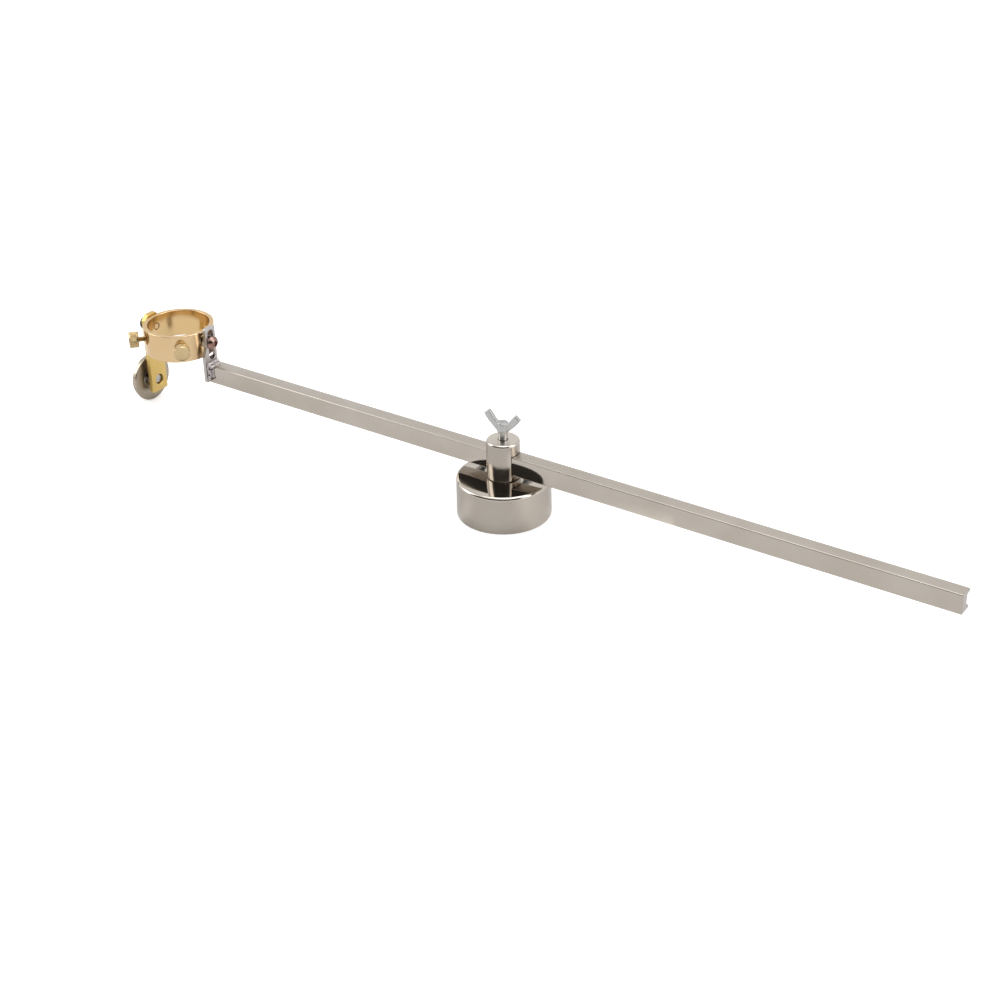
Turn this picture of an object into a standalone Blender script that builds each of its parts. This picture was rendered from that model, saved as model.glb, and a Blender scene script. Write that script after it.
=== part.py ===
"""Circle cutting guide for a plasma torch.

A magnetic base carries a post that turns on a ball bearing. A bar slides through the post and is
clamped by a wing screw. A slotted riser plate is welded to one end of the bar. It holds the torch
ring, and a bracket on the ring's far side carries a ball-bearing wheel that rolls on the work.

Lengths are in metres, +Z is up. The origin is the centre of the base's underside, and the bar lies
along X with the torch ring at -X.
"""

import math

import bmesh
import bpy
from mathutils import Matrix, Vector

MM = 0.001

# clearances
seat_gap = 0.3 * MM
ball_gap = 0.15 * MM
cut_overrun = 2.0 * MM
weld_distance = 0.002 * MM

# magnet base
base_radius = 25.0 * MM
base_height = 21.4 * MM
base_rim_round = 1.5 * MM
base_foot_chamfer = 0.4 * MM
base_wall = 3.6 * MM
base_top_opening_radius = 7.0 * MM
base_top_thickness = 3.0 * MM
potting_width = 2.8 * MM
potting_recess = 0.4 * MM
magnet_head_gap = 1.0 * MM
head_room = 3.0 * MM

# bearing under the post
pivot_bearing_radius = 9.5 * MM
pivot_bearing_width = 6.0 * MM
pivot_bearing_bore = 3.0 * MM
pivot_race_thickness = 2.1 * MM
pivot_ball_radius = 1.75 * MM
pivot_ball_count = 7
circlip_thickness = 1.0 * MM
circlip_ring_width = 2.0 * MM
circlip_groove_depth = 0.6 * MM
circlip_gap = 5.0 * MM
circlip_lug_radius = 1.5 * MM
circlip_lug_hole_radius = 0.6 * MM
pivot_screw_radius = 2.65 * MM
pivot_thread_length = 5.8 * MM
pivot_head_radius = 4.7 * MM
pivot_head_height = 2.7 * MM
pivot_washer_radius = 4.6 * MM
pivot_washer_thickness = 1.0 * MM

# post
post_radius = 8.8 * MM
post_top = 42.9 * MM
post_edge = 1.2 * MM
post_boss_radius = 4.6 * MM
window_floor = 3.2 * MM

# bar
rail_width = 8.0 * MM
rail_height = 10.7 * MM
rail_length = 451.8 * MM
rail_reach_left = 198.8 * MM
rail_corner = 0.5 * MM
groove_depth = 3.0 * MM
groove_height = 7.1 * MM

# wing screw
wing_thread_radius = 2.4 * MM
wing_stem_length = 10.3 * MM
wing_hub_radius = 3.3 * MM
wing_hub_top_radius = 2.85 * MM
wing_hub_height = 6.3 * MM
wing_span = 21.3 * MM
wing_height = 12.0 * MM
wing_thickness = 2.4 * MM
wing_yaw = math.radians(3.0)

# riser plate and its weld
riser_width = 8.0 * MM
riser_foot_front = 6.3 * MM
riser_thickness = 2.0 * MM
riser_bottom_step = 0.4 * MM
riser_height = 32.2 * MM
riser_corner = 0.6 * MM
shoulder_low = 15.4 * MM
shoulder_high = 21.4 * MM
slot_width = 4.6 * MM
slot_length = 17.9 * MM
slot_top_margin = 1.5 * MM
weld_radius = 0.9 * MM
weld_bump = 0.14 * MM
weld_bump_pitch = 2.1 * MM

# torch ring
ring_outer_radius = 20.0 * MM
ring_wall = 2.4 * MM
ring_height = 15.8 * MM
ring_bottom = 39.3 * MM
ring_edge = 0.3 * MM
clamp_screw_height = 9.4 * MM

# screws that hold the ring and the bracket
clamp_screw_radius = 1.95 * MM
ring_head_radius = 3.9 * MM
ring_head_height = 3.0 * MM
bracket_head_radius = 3.6 * MM
bracket_head_height = 4.2 * MM
ring_washer_radius = 3.8 * MM
ring_washer_thickness = 1.5 * MM

# thumb screws
thumb_angles = (math.radians(-45.0), math.radians(-135.0))
thumb_stand_offs = (0.5 * MM, 3.3 * MM)
thumb_thread_radius = 1.5 * MM
thumb_thread_length = 6.0 * MM
thumb_head_radius = 4.65 * MM
thumb_head_length = 5.4 * MM
knurl_depth = 0.3 * MM
knurl_count = 24

# wheel bracket
bracket_width = 12.0 * MM
bracket_thickness = 3.0 * MM
bracket_above_ring = 1.0 * MM
bracket_below_axle = 7.0 * MM
bracket_top_chamfer = 3.0 * MM
bracket_bottom_chamfer = 0.6 * MM

# wheel and its bearing
wheel_radius = 14.0 * MM
wheel_drum_radius = 12.9 * MM
wheel_hub_radius = 8.6 * MM
wheel_flange = 1.2 * MM
wheel_width = 4.0 * MM
wheel_edge = 0.3 * MM
wheel_lip = 1.0 * MM
wheel_lip_radius = 5.3 * MM
wheel_bearing_radius = 6.8 * MM
wheel_bearing_width = 5.0 * MM
wheel_race_thickness = 1.1 * MM
wheel_ball_radius = 1.1 * MM
wheel_ball_count = 9
race_edge = 0.25 * MM
axle_radius = 2.7 * MM
axle_recess = 1.2 * MM
axle_collar_radius = 3.5 * MM
axle_head_radius = 4.2 * MM
axle_head_height = 2.5 * MM
spacer_radius = 4.1 * MM
spacer_length = 2.0 * MM
hex_socket_radius = 1.6 * MM
hex_socket_depth = 1.5 * MM

# facet counts
base_facets = 56
ring_facets = 56
wheel_facets = 48
post_facets = 44
race_facets = 28
screw_facets = 20
hole_facets = 16
ball_facets = 8
round_steps = 3
sharp_angle = math.radians(32)

# places worked out from the sizes above
shoulder_z = base_height - base_top_thickness
pivot_bearing_top = shoulder_z - seat_gap
pivot_bearing_mid = pivot_bearing_top - pivot_bearing_width / 2
pivot_bearing_bottom = pivot_bearing_top - pivot_bearing_width
circlip_top = pivot_bearing_bottom - seat_gap
circlip_bottom = circlip_top - circlip_thickness
washer_top = circlip_top
washer_bottom = washer_top - pivot_washer_thickness
pivot_head_top = washer_bottom - seat_gap
magnet_thickness = pivot_head_top - pivot_head_height - magnet_head_gap
cavity_height = magnet_thickness + head_room
cavity_radius = base_radius - base_wall
magnet_radius = cavity_radius - potting_width - 2 * seat_gap
seat_radius = pivot_bearing_radius + seat_gap
pivot_pitch_radius = (pivot_bearing_bore + pivot_bearing_radius) / 2

post_foot = base_height + seat_gap
window_floor_z = post_foot + window_floor
rail_bottom = window_floor_z + seat_gap
rail_top = rail_bottom + rail_height
rail_mid = rail_bottom + rail_height / 2
window_ceiling_z = rail_top + seat_gap

riser_face_x = -rail_reach_left - seat_gap
riser_back_x = riser_face_x - riser_thickness
riser_bottom = rail_bottom + riser_bottom_step
riser_top = riser_bottom + riser_height
slot_top = riser_top - slot_top_margin
slot_bottom = slot_top - slot_length

ring_x = riser_back_x - seat_gap - ring_washer_thickness - seat_gap - ring_outer_radius
ring_inner_radius = ring_outer_radius - ring_wall
ring_top = ring_bottom + ring_height
ring_mid = ring_bottom + ring_height / 2
clamp_z = ring_bottom + clamp_screw_height

bracket_face_x = ring_x - ring_outer_radius - seat_gap
bracket_outer_x = bracket_face_x - bracket_thickness
axle_z = wheel_radius
bracket_top = ring_top + bracket_above_ring
bracket_bottom = axle_z - bracket_below_axle
wheel_bearing_bore = axle_radius + seat_gap
wheel_pitch_radius = (wheel_bearing_bore + wheel_bearing_radius) / 2
wheel_seat_radius = wheel_bearing_radius + seat_gap

# heights outboard from the bracket's outer face
spacer_end = seat_gap + spacer_length
wheel_start = spacer_end + seat_gap
wheel_rim_end = wheel_start + wheel_width
wheel_bearing_end = wheel_start + wheel_bearing_width
wheel_hub_end = wheel_bearing_end + seat_gap + wheel_lip


def clear_scene():
    """Remove what a new file holds."""
    for obj in list(bpy.data.objects):
        bpy.data.objects.remove(obj, do_unlink=True)
    for mesh in list(bpy.data.meshes):
        bpy.data.meshes.remove(mesh)


def new_collection(name):
    collection = bpy.data.collections.new(name)
    bpy.context.scene.collection.children.link(collection)
    return collection


clear_scene()
parts = new_collection("plasma_circle_cutting_guide")
cutters = new_collection("cutters")


def finish_material(name, colour, roughness, metallic=1.0):
    """A Principled BSDF finish."""
    material = bpy.data.materials.new(name)
    material.use_nodes = True
    shader = material.node_tree.nodes["Principled BSDF"]
    shader.inputs["Base Color"].default_value = (*colour, 1.0)
    shader.inputs["Roughness"].default_value = roughness
    shader.inputs["Metallic"].default_value = metallic
    material.diffuse_color = (*colour, 1.0)
    return material


nickel_colour = (0.60, 0.57, 0.53)
steel_colour = (0.58, 0.58, 0.59)
zinc_colour = (0.66, 0.67, 0.68)
yellow_zinc_colour = (0.72, 0.60, 0.30)
copper_brass_colour = (0.83, 0.60, 0.38)
brass_colour = (0.70, 0.64, 0.42)
dark_steel_colour = (0.16, 0.15, 0.14)
copper_screw_colour = (0.50, 0.34, 0.31)
ferrite_colour = (0.10, 0.10, 0.11)
resin_colour = (0.05, 0.05, 0.06)


def own_finish(obj, colour, roughness, metallic=1.0):
    """Give one piece its own finish."""
    obj.data.materials.clear()
    obj.data.materials.append(finish_material(obj.name + "_finish", colour, roughness, metallic))


def place(obj, parent=None, location=(0, 0, 0), rotation=(0, 0, 0), collection=None):
    """Link an object and set it in its parent's frame."""
    (collection or parts).objects.link(obj)
    obj.parent = parent
    obj.location = location
    obj.rotation_euler = rotation
    return obj


def axis_empty(name, location, rotation=(0, 0, 0), parent=None):
    """An empty on a joint's axis."""
    return place(bpy.data.objects.new(name, None), parent, location, rotation)


def evaluated_mesh(obj):
    """The mesh that an object's modifiers and curve settings give."""
    bpy.context.view_layer.update()
    graph = bpy.context.evaluated_depsgraph_get()
    mesh = bpy.data.meshes.new_from_object(obj.evaluated_get(graph))
    work = bmesh.new()
    work.from_mesh(mesh)
    bmesh.ops.remove_doubles(work, verts=work.verts, dist=weld_distance)
    work.to_mesh(mesh)
    work.free()
    return mesh


def shade_round(mesh):
    """Smooth shading with sharp edges kept."""
    mesh.shade_smooth()
    mesh.set_sharp_from_angle(angle=sharp_angle)


def settle(obj):
    """Replace an object's mesh by its evaluated one."""
    mesh = evaluated_mesh(obj)
    obj.modifiers.clear()
    old = obj.data
    obj.data = mesh
    bpy.data.meshes.remove(old)
    shade_round(mesh)
    return obj


def settle_curve(obj):
    """Turn a curve object into a mesh object of the same name and place."""
    mesh = evaluated_mesh(obj)
    shade_round(mesh)
    name = obj.name
    parent = obj.parent
    location = obj.location.copy()
    rotation = obj.rotation_euler.copy()
    collection = obj.users_collection[0]
    bpy.data.objects.remove(obj, do_unlink=True)
    return place(bpy.data.objects.new(name, mesh), parent, location, rotation, collection)


def arc_points(centre, radius, start, end, steps):
    """Points of an arc in the profile plane."""
    points = []
    for step in range(steps + 1):
        angle = start + (end - start) * step / steps
        points.append((centre[0] + radius * math.cos(angle), centre[1] + radius * math.sin(angle)))
    return points


def turned(name, profile, facets, parent=None, location=(0, 0, 0), rotation=(0, 0, 0), collection=None):
    """Turn a closed profile of (radius, height) points about Z.

    The profile runs down its outer side. Points at radius zero close it on the axis.
    """
    mesh = bpy.data.meshes.new(name)
    corners = [(radius, 0, height) for radius, height in profile]
    edges = [(index, index + 1) for index in range(len(corners) - 1)]
    if profile[0][0] > 0:
        edges.append((len(corners) - 1, 0))
    mesh.from_pydata(corners, edges, [])
    obj = place(bpy.data.objects.new(name, mesh), parent, location, rotation, collection)
    screw = obj.modifiers.new("turn", "SCREW")
    screw.axis = "Z"
    screw.steps = facets
    screw.render_steps = facets
    screw.use_merge_vertices = True
    screw.merge_threshold = weld_distance
    return settle(obj)


def extruded(name, outlines, thickness, parent=None, location=(0, 0, 0), rotation=(0, 0, 0),
             collection=None, smooth=False):
    """Extrude a flat outline, with any further outlines as holes, by a thickness."""
    curve = bpy.data.curves.new(name, "CURVE")
    curve.dimensions = "2D"
    curve.fill_mode = "BOTH"
    curve.extrude = thickness / 2
    for outline in outlines:
        if smooth:
            spline = curve.splines.new("BEZIER")
            spline.bezier_points.add(len(outline) - 1)
            for knot, (x, y) in zip(spline.bezier_points, outline):
                knot.co = (x, y, 0)
                knot.handle_left_type = "AUTO"
                knot.handle_right_type = "AUTO"
            spline.resolution_u = round_steps
        else:
            spline = curve.splines.new("POLY")
            spline.points.add(len(outline) - 1)
            for knot, (x, y) in zip(spline.points, outline):
                knot.co = (x, y, 0, 1)
        spline.use_cyclic_u = True
    obj = place(bpy.data.objects.new(name, curve), parent, location, rotation, collection)
    return settle_curve(obj)


def circle_outline(centre, radius, facets):
    return arc_points(centre, radius, 0, 2 * math.pi * (facets - 1) / facets, facets - 1)


def rounded_outline(corners, radius):
    """Round each corner of an outline of axis-parallel edges."""
    points = []
    count = len(corners)
    for index, corner in enumerate(corners):
        here = Vector(corner)
        before = (Vector(corners[index - 1]) - here).normalized()
        after = (Vector(corners[(index + 1) % count]) - here).normalized()
        for step in range(round_steps + 1):
            swing = math.pi / 2 * step / round_steps
            point = here + radius * (before * (1 - math.sin(swing)) + after * (1 - math.cos(swing)))
            points.append(tuple(point))
    return points


def chamfered_outline(corners):
    """Replace each (x, y, cut) corner by two points, the cut's length along each of its edges."""
    points = []
    count = len(corners)
    for index, (x, y, length) in enumerate(corners):
        here = Vector((x, y))
        before = Vector(corners[index - 1][:2])
        after = Vector(corners[(index + 1) % count][:2])
        for end in (before, after):
            points.append(tuple(here + (end - here).normalized() * length))
    return points


def slot_outline(width, bottom, top, facets):
    """A vertical slot with round ends."""
    radius = width / 2
    lower = arc_points((0, bottom + radius), radius, math.pi, 2 * math.pi, facets // 2)
    upper = arc_points((0, top - radius), radius, 0, math.pi, facets // 2)
    return lower + upper


def as_cutter(obj):
    """Move a shape to the cutters and show it as wire."""
    for collection in list(obj.users_collection):
        collection.objects.unlink(obj)
    cutters.objects.link(obj)
    obj.hide_render = True
    obj.display_type = "WIRE"
    return obj


def cylinder_cutter(name, radius, start, end, facets, parent=None, location=(0, 0, 0), rotation=(0, 0, 0)):
    """A round cutter along its own Z."""
    profile = [(0, end), (radius, end), (radius, start), (0, start)]
    return as_cutter(turned(name, profile, facets, parent, location, rotation))


def box_cutter(name, low, high, parent=None, location=(0, 0, 0), rotation=(0, 0, 0)):
    """A box cutter between two corners."""
    mesh = bpy.data.meshes.new(name)
    work = bmesh.new()
    bmesh.ops.create_cube(work, size=1.0)
    size = Vector(high) - Vector(low)
    middle = (Vector(high) + Vector(low)) / 2
    work.transform(Matrix.Translation(middle) @ Matrix.Diagonal((*size, 1.0)))
    work.to_mesh(mesh)
    work.free()
    return as_cutter(place(bpy.data.objects.new(name, mesh), parent, location, rotation))


def combine(obj, other, operation):
    """Cut or join another shape, with the exact solver."""
    boolean = obj.modifiers.new(other.name, "BOOLEAN")
    boolean.operation = operation
    boolean.solver = "EXACT"
    boolean.object = other
    settle(obj)
    bpy.data.objects.remove(other, do_unlink=True)
    return obj


def cut(obj, *tools):
    for tool in tools:
        combine(obj, tool, "DIFFERENCE")
    return obj


def join(obj, *pieces):
    for piece in pieces:
        combine(obj, as_cutter(piece), "UNION")
    return obj


def tube_ring(outer, inner, bottom, top, edge):
    """Profile of a plain ring with chamfered outer and inner edges."""
    return [
        (inner + edge, top), (outer - edge, top), (outer, top - edge), (outer, bottom + edge),
        (outer - edge, bottom), (inner + edge, bottom), (inner, bottom + edge), (inner, top - edge),
    ]


def make_base_cup(root):
    """Steel cup with a stepped bore: a shoulder, the bearing seat, a clip groove and the magnet's room."""
    rim_centre = (base_radius - base_rim_round, base_height - base_rim_round)
    rim = arc_points(rim_centre, base_rim_round, math.pi / 2, 0, round_steps + 1)
    groove_radius = seat_radius + circlip_groove_depth
    groove_low = circlip_bottom - seat_gap
    groove_high = circlip_top + seat_gap
    profile = [(base_top_opening_radius, base_height)]
    profile += rim
    profile += [
        (base_radius, base_foot_chamfer), (base_radius - base_foot_chamfer, 0),
        (cavity_radius, 0), (cavity_radius, cavity_height), (seat_radius, cavity_height),
        (seat_radius, groove_low), (groove_radius, groove_low),
        (groove_radius, groove_high), (seat_radius, groove_high),
        (seat_radius, shoulder_z), (base_top_opening_radius, shoulder_z),
    ]
    cup = turned("base_cup", profile, base_facets, root)
    own_finish(cup, nickel_colour, 0.16)


def make_magnet(root):
    """Magnet disc and the resin ring that holds it in the cup."""
    disc_profile = [(0, magnet_thickness), (magnet_radius, magnet_thickness), (magnet_radius, 0), (0, 0)]
    disc = turned("magnet_disc", disc_profile, base_facets, root)
    own_finish(disc, ferrite_colour, 0.55, 0.0)
    outer = cavity_radius - seat_gap
    inner = magnet_radius + seat_gap
    profile = [(inner, magnet_thickness), (outer, magnet_thickness),
               (outer, potting_recess), (inner, potting_recess)]
    resin = turned("potting_ring", profile, base_facets, root)
    own_finish(resin, resin_colour, 0.35, 0.0)


def groove_angle(edge_radius, pitch, radius):
    """Where a ball groove's arc meets a race's land."""
    return math.acos((edge_radius - pitch) / radius)


def outer_race(name, radius, thickness, width, pitch, ball, parent, location, facets):
    """Outer race with its ball groove, centred on its own origin."""
    land = radius - thickness
    groove = ball + ball_gap
    reach = groove_angle(land, pitch, groove)
    half = width / 2
    profile = [(radius - race_edge, half), (radius, half - race_edge), (radius, race_edge - half),
               (radius - race_edge, -half), (land, -half)]
    profile += arc_points((pitch, 0), groove, -reach, reach, round_steps * 2)
    profile.append((land, half))
    race = turned(name, profile, facets, parent, location)
    own_finish(race, steel_colour, 0.18)


def inner_race(name, bore, thickness, width, pitch, ball, parent, location, facets):
    """Inner race with its ball groove, centred on its own origin."""
    land = bore + thickness
    groove = ball + ball_gap
    reach = groove_angle(land, pitch, groove)
    half = width / 2
    profile = [(land, half)]
    profile += arc_points((pitch, 0), groove, reach, 2 * math.pi - reach, round_steps * 2)
    profile += [(land, -half), (bore, -half), (bore, half)]
    race = turned(name, profile, facets, parent, location)
    own_finish(race, steel_colour, 0.18)


def ball_cage(name, pitch, ball, count, parent, location, facets):
    """Balls held by a flat cage ring on their pitch circle."""
    web = ball / 4
    profile = [(pitch - web, web * 2), (pitch + web, web * 2),
               (pitch + web, -web * 2), (pitch - web, -web * 2)]
    cage = turned(name, profile, facets, parent, location)
    mesh = bpy.data.meshes.new(name + "_balls")
    work = bmesh.new()
    for index in range(count):
        angle = 2 * math.pi * index / count
        centre = Vector((pitch * math.cos(angle), pitch * math.sin(angle), 0))
        bmesh.ops.create_uvsphere(work, u_segments=ball_facets, v_segments=ball_facets * 2 // 3,
                                  radius=ball, matrix=Matrix.Translation(centre))
    work.to_mesh(mesh)
    work.free()
    balls = place(bpy.data.objects.new(name + "_balls", mesh), parent, location)
    join(cage, balls)
    own_finish(cage, steel_colour, 0.15)


def make_pivot_bearing(root, post_axis):
    """Deep-groove bearing in the base that the post turns on."""
    height = (0, 0, pivot_bearing_mid)
    outer_race("pivot_outer_race", pivot_bearing_radius, pivot_race_thickness, pivot_bearing_width,
               pivot_pitch_radius, pivot_ball_radius, root, height, race_facets)
    inner_race("pivot_inner_race", pivot_bearing_bore, pivot_race_thickness, pivot_bearing_width,
               pivot_pitch_radius, pivot_ball_radius, post_axis, height, race_facets)
    cage_axis = axis_empty("pivot_cage_axis", (0, 0, 0), (0, 0, 0), root)
    ball_cage("pivot_ball_cage", pivot_pitch_radius, pivot_ball_radius, pivot_ball_count,
              cage_axis, height, race_facets)


def make_circlip(root):
    """Internal retaining ring in its groove, with two lugs beside the gap."""
    outer = seat_radius + circlip_groove_depth - seat_gap
    inner = outer - circlip_ring_width
    half_gap = math.asin(circlip_gap / 2 / outer)
    ring = arc_points((0, 0), outer, half_gap, 2 * math.pi - half_gap, race_facets)
    ring += arc_points((0, 0), inner, 2 * math.pi - half_gap, half_gap, race_facets)
    middle = (0, 0, circlip_bottom + circlip_thickness / 2)
    clip = extruded("pivot_retaining_ring", [ring], circlip_thickness, root, middle)
    lug_reach = inner + circlip_lug_radius / 3
    for side in (1, -1):
        angle = side * (half_gap + circlip_lug_radius / inner)
        centre = (lug_reach * math.cos(angle), lug_reach * math.sin(angle))
        lug = extruded("lug", [circle_outline(centre, circlip_lug_radius, hole_facets)],
                       circlip_thickness, root, middle)
        join(clip, lug)
        cut(clip, cylinder_cutter("lug_hole", circlip_lug_hole_radius, -cut_overrun, cut_overrun,
                                  hole_facets, root, (*centre, middle[2])))
    own_finish(clip, dark_steel_colour, 0.35)


def screw_profile(shank_radius, shank_length, head_radius, head_height, head_round):
    """A screw along Z with its head's underside at zero and a domed head above it."""
    tip_chamfer = shank_radius / 4
    dome = arc_points((head_radius - head_round, head_height - head_round), head_round,
                      math.pi / 2, 0, round_steps)
    return [(0, head_height)] + dome + [
        (head_radius, 0), (shank_radius, 0), (shank_radius, tip_chamfer - shank_length),
        (shank_radius - tip_chamfer, -shank_length), (0, -shank_length)]


def hex_cutter(name, radius, depth, top, parent, location, rotation):
    """A six-sided socket."""
    return cylinder_cutter(name, radius, top - depth, top + cut_overrun, 6, parent, location, rotation)


def make_pivot_screw(post_axis):
    """Screw and washer that draw the post's boss onto the inner race."""
    inner = pivot_screw_radius + seat_gap
    washer = turned("pivot_washer", [(inner, washer_top), (pivot_washer_radius, washer_top),
                                     (pivot_washer_radius, washer_bottom), (inner, washer_bottom)],
                    screw_facets, post_axis)
    own_finish(washer, zinc_colour, 0.35)
    length = pivot_bearing_top + seat_gap + pivot_thread_length - pivot_head_top
    profile = screw_profile(pivot_screw_radius, length, pivot_head_radius, pivot_head_height,
                            pivot_head_height / 2)
    upside_down = (math.pi, 0, 0)
    location = (0, 0, pivot_head_top)
    screw = turned("pivot_screw", profile, screw_facets, post_axis, location, upside_down)
    cut(screw, hex_cutter("hex", hex_socket_radius, hex_socket_depth, pivot_head_height,
                          post_axis, location, upside_down))
    own_finish(screw, dark_steel_colour, 0.4)


def make_post(post_axis):
    """Turned post with a boss on the bearing, a window for the bar and a threaded hole in its top."""
    boss_bottom = pivot_bearing_top + seat_gap
    profile = [
        (0, post_top), (post_radius - post_edge, post_top), (post_radius, post_top - post_edge),
        (post_radius, post_foot), (post_boss_radius, post_foot), (post_boss_radius, boss_bottom),
        (0, boss_bottom),
    ]
    post = turned("post", profile, post_facets, post_axis)
    half = rail_width / 2 + seat_gap
    reach = post_radius + cut_overrun
    window = box_cutter("window", (-reach, -half, window_floor_z), (reach, half, window_ceiling_z), post_axis)
    top_hole = cylinder_cutter("top_hole", wing_thread_radius + seat_gap, rail_mid,
                               post_top + cut_overrun, screw_facets, post_axis)
    foot_hole_top = boss_bottom + pivot_thread_length + seat_gap
    foot_hole = cylinder_cutter("foot_hole", pivot_screw_radius + seat_gap, boss_bottom - cut_overrun,
                                foot_hole_top, screw_facets, post_axis)
    cut(post, window, top_hole, foot_hole)
    own_finish(post, nickel_colour, 0.18)


def make_wing_screw(post_axis):
    """Wing screw: a threaded stem, a hub and two curved ears."""
    stem_bottom = rail_top + seat_gap
    hub_bottom = stem_bottom + wing_stem_length
    hub_top = hub_bottom + wing_hub_height
    neck = wing_hub_radius - wing_thread_radius
    shrink = wing_hub_radius - wing_hub_top_radius
    profile = [
        (0, hub_top), (wing_hub_top_radius - shrink, hub_top), (wing_hub_top_radius, hub_top - shrink),
        (wing_hub_radius, hub_bottom + wing_hub_height / 3), (wing_hub_radius, hub_bottom + neck),
        (wing_thread_radius + neck / 2, hub_bottom), (wing_thread_radius, hub_bottom),
        (wing_thread_radius, stem_bottom + neck / 2), (wing_thread_radius - neck / 2, stem_bottom),
        (0, stem_bottom),
    ]
    turn_axis = axis_empty("wing_screw_axis", (0, 0, 0), (0, 0, wing_yaw), post_axis)
    screw = turned("wing_screw", profile, screw_facets, turn_axis)
    ear_shares = [
        (0.10, 0.08), (0.24, 0.07), (0.33, 0.13), (0.47, 0.25), (0.68, 0.425), (0.86, 0.61),
        (0.985, 0.765), (1.00, 0.80), (0.97, 0.835), (0.765, 0.985), (0.73, 1.00), (0.695, 0.98),
        (0.515, 0.765), (0.31, 0.49), (0.10, 0.42),
    ]
    right = [(x * wing_span / 2, z * wing_height) for x, z in ear_shares]
    left = [(-x, z) for x, z in reversed(right)]
    ears = extruded("ears", [right + left], wing_thickness, turn_axis, (0, 0, hub_bottom),
                    (math.pi / 2, 0, 0), smooth=True)
    join(screw, ears)
    own_finish(screw, zinc_colour, 0.3)


def make_rail(rail_frame):
    """Bar with a shallow groove along its back."""
    half = rail_width / 2
    half_groove = groove_height / 2
    half_height = rail_height / 2
    floor = half - groove_depth
    section = rounded_outline([(-half, -half_height), (half, -half_height), (half, -half_groove),
                               (floor, -half_groove), (floor, half_groove), (half, half_groove),
                               (half, half_height), (-half, half_height)], rail_corner)
    middle = (rail_length / 2 - rail_reach_left, 0, rail_mid)
    rail = extruded("rail", [section], rail_length, rail_frame, middle, (math.pi / 2, 0, math.pi / 2))
    own_finish(rail, nickel_colour, 0.22)


def make_riser_plate(rail_frame):
    """Flat plate with a vertical slot and a wider foot, square to the bar's end."""
    low = riser_bottom + shoulder_low
    high = riser_bottom + shoulder_high
    half = riser_width / 2
    outline = chamfered_outline([
        (-riser_foot_front, riser_bottom, riser_corner), (half, riser_bottom, riser_corner),
        (half, riser_top, riser_corner), (-half, riser_top, riser_corner),
        (-half, high, riser_corner), (-riser_foot_front, low, riser_corner),
    ])
    slot = slot_outline(slot_width, slot_bottom, slot_top, screw_facets)
    middle = ((riser_face_x + riser_back_x) / 2, 0, 0)
    plate = extruded("riser_plate", [outline, slot], riser_thickness, rail_frame, middle,
                     (math.pi / 2, 0, math.pi / 2))
    own_finish(plate, steel_colour, 0.3)


def weld_path(stand):
    """Middle line of the weld: up the front of the bar's end, then over its top."""
    half = rail_width / 2
    front = -half - stand
    high = rail_top + stand
    path = [(front, riser_bottom + stand)]
    path += arc_points((front + stand, high - stand), stand, math.pi, math.pi / 2, round_steps)
    path.append((half - weld_radius, high))
    return path


def make_weld_bead(rail_frame):
    """Rippled fillet weld between the bar's end and the riser plate."""
    stand = weld_radius + weld_bump + seat_gap
    x = riser_face_x + stand
    path = weld_path(stand)
    lengths = [(Vector(path[i + 1]) - Vector(path[i])).length for i in range(len(path) - 1)]
    total = sum(lengths)
    count = int(total / weld_bump_pitch) * 4
    curve = bpy.data.curves.new("weld_bead", "CURVE")
    curve.dimensions = "3D"
    curve.bevel_depth = weld_radius
    curve.bevel_resolution = 1
    curve.use_fill_caps = True
    spline = curve.splines.new("POLY")
    spline.points.add(count)
    for step in range(count + 1):
        along = total * step / count
        index = 0
        rest = along
        while index < len(lengths) - 1 and rest > lengths[index]:
            rest -= lengths[index]
            index += 1
        y, z = Vector(path[index]).lerp(Vector(path[index + 1]), min(rest / lengths[index], 1))
        spline.points[step].co = (x, y, z, 1)
        swell = weld_bump * math.sin(2 * math.pi * along / weld_bump_pitch)
        spline.points[step].radius = 1 + swell / weld_radius
    bead = settle_curve(place(bpy.data.objects.new("weld_bead", curve), rail_frame))
    own_finish(bead, steel_colour, 0.4)


def outward(angle):
    """Rotation that turns a screw's own Z to point out of the ring at a plan angle."""
    return (0, math.pi / 2, angle)


def on_ring(angle, reach, height):
    """A point at a plan angle and a reach from the torch axis."""
    return (reach * math.cos(angle), reach * math.sin(angle), height)


def make_torch_ring(ring_frame):
    """Brass ring for the torch, with holes for the two clamp screws and the thumb screws."""
    profile = tube_ring(ring_outer_radius, ring_inner_radius, ring_bottom, ring_top, ring_edge)
    ring = turned("torch_ring", profile, ring_facets, ring_frame)
    holes = [(0, clamp_screw_radius, clamp_z), (math.pi, clamp_screw_radius, clamp_z)]
    holes += [(angle, thumb_thread_radius, ring_mid) for angle in thumb_angles]
    for index, (angle, radius, height) in enumerate(holes):
        location = on_ring(angle, ring_inner_radius, height)
        cut(ring, cylinder_cutter("ring_hole_%d" % index, radius + seat_gap, -cut_overrun,
                                  ring_wall + cut_overrun, hole_facets, ring_frame, location, outward(angle)))
    own_finish(ring, copper_brass_colour, 0.14)


def make_ring_screw(ring_frame):
    """Domed socket screw that clamps the ring to the riser plate through its slot."""
    underside = riser_face_x - ring_x + seat_gap
    location = (underside, 0, clamp_z)
    rotation = outward(0)
    profile = screw_profile(clamp_screw_radius, underside - ring_inner_radius, ring_head_radius,
                            ring_head_height, ring_head_height * 2 / 3)
    screw = turned("ring_screw", profile, screw_facets, ring_frame, location, rotation)
    cut(screw, hex_cutter("hex", hex_socket_radius, hex_socket_depth, ring_head_height,
                          ring_frame, location, rotation))
    own_finish(screw, copper_screw_colour, 0.2)


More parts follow.
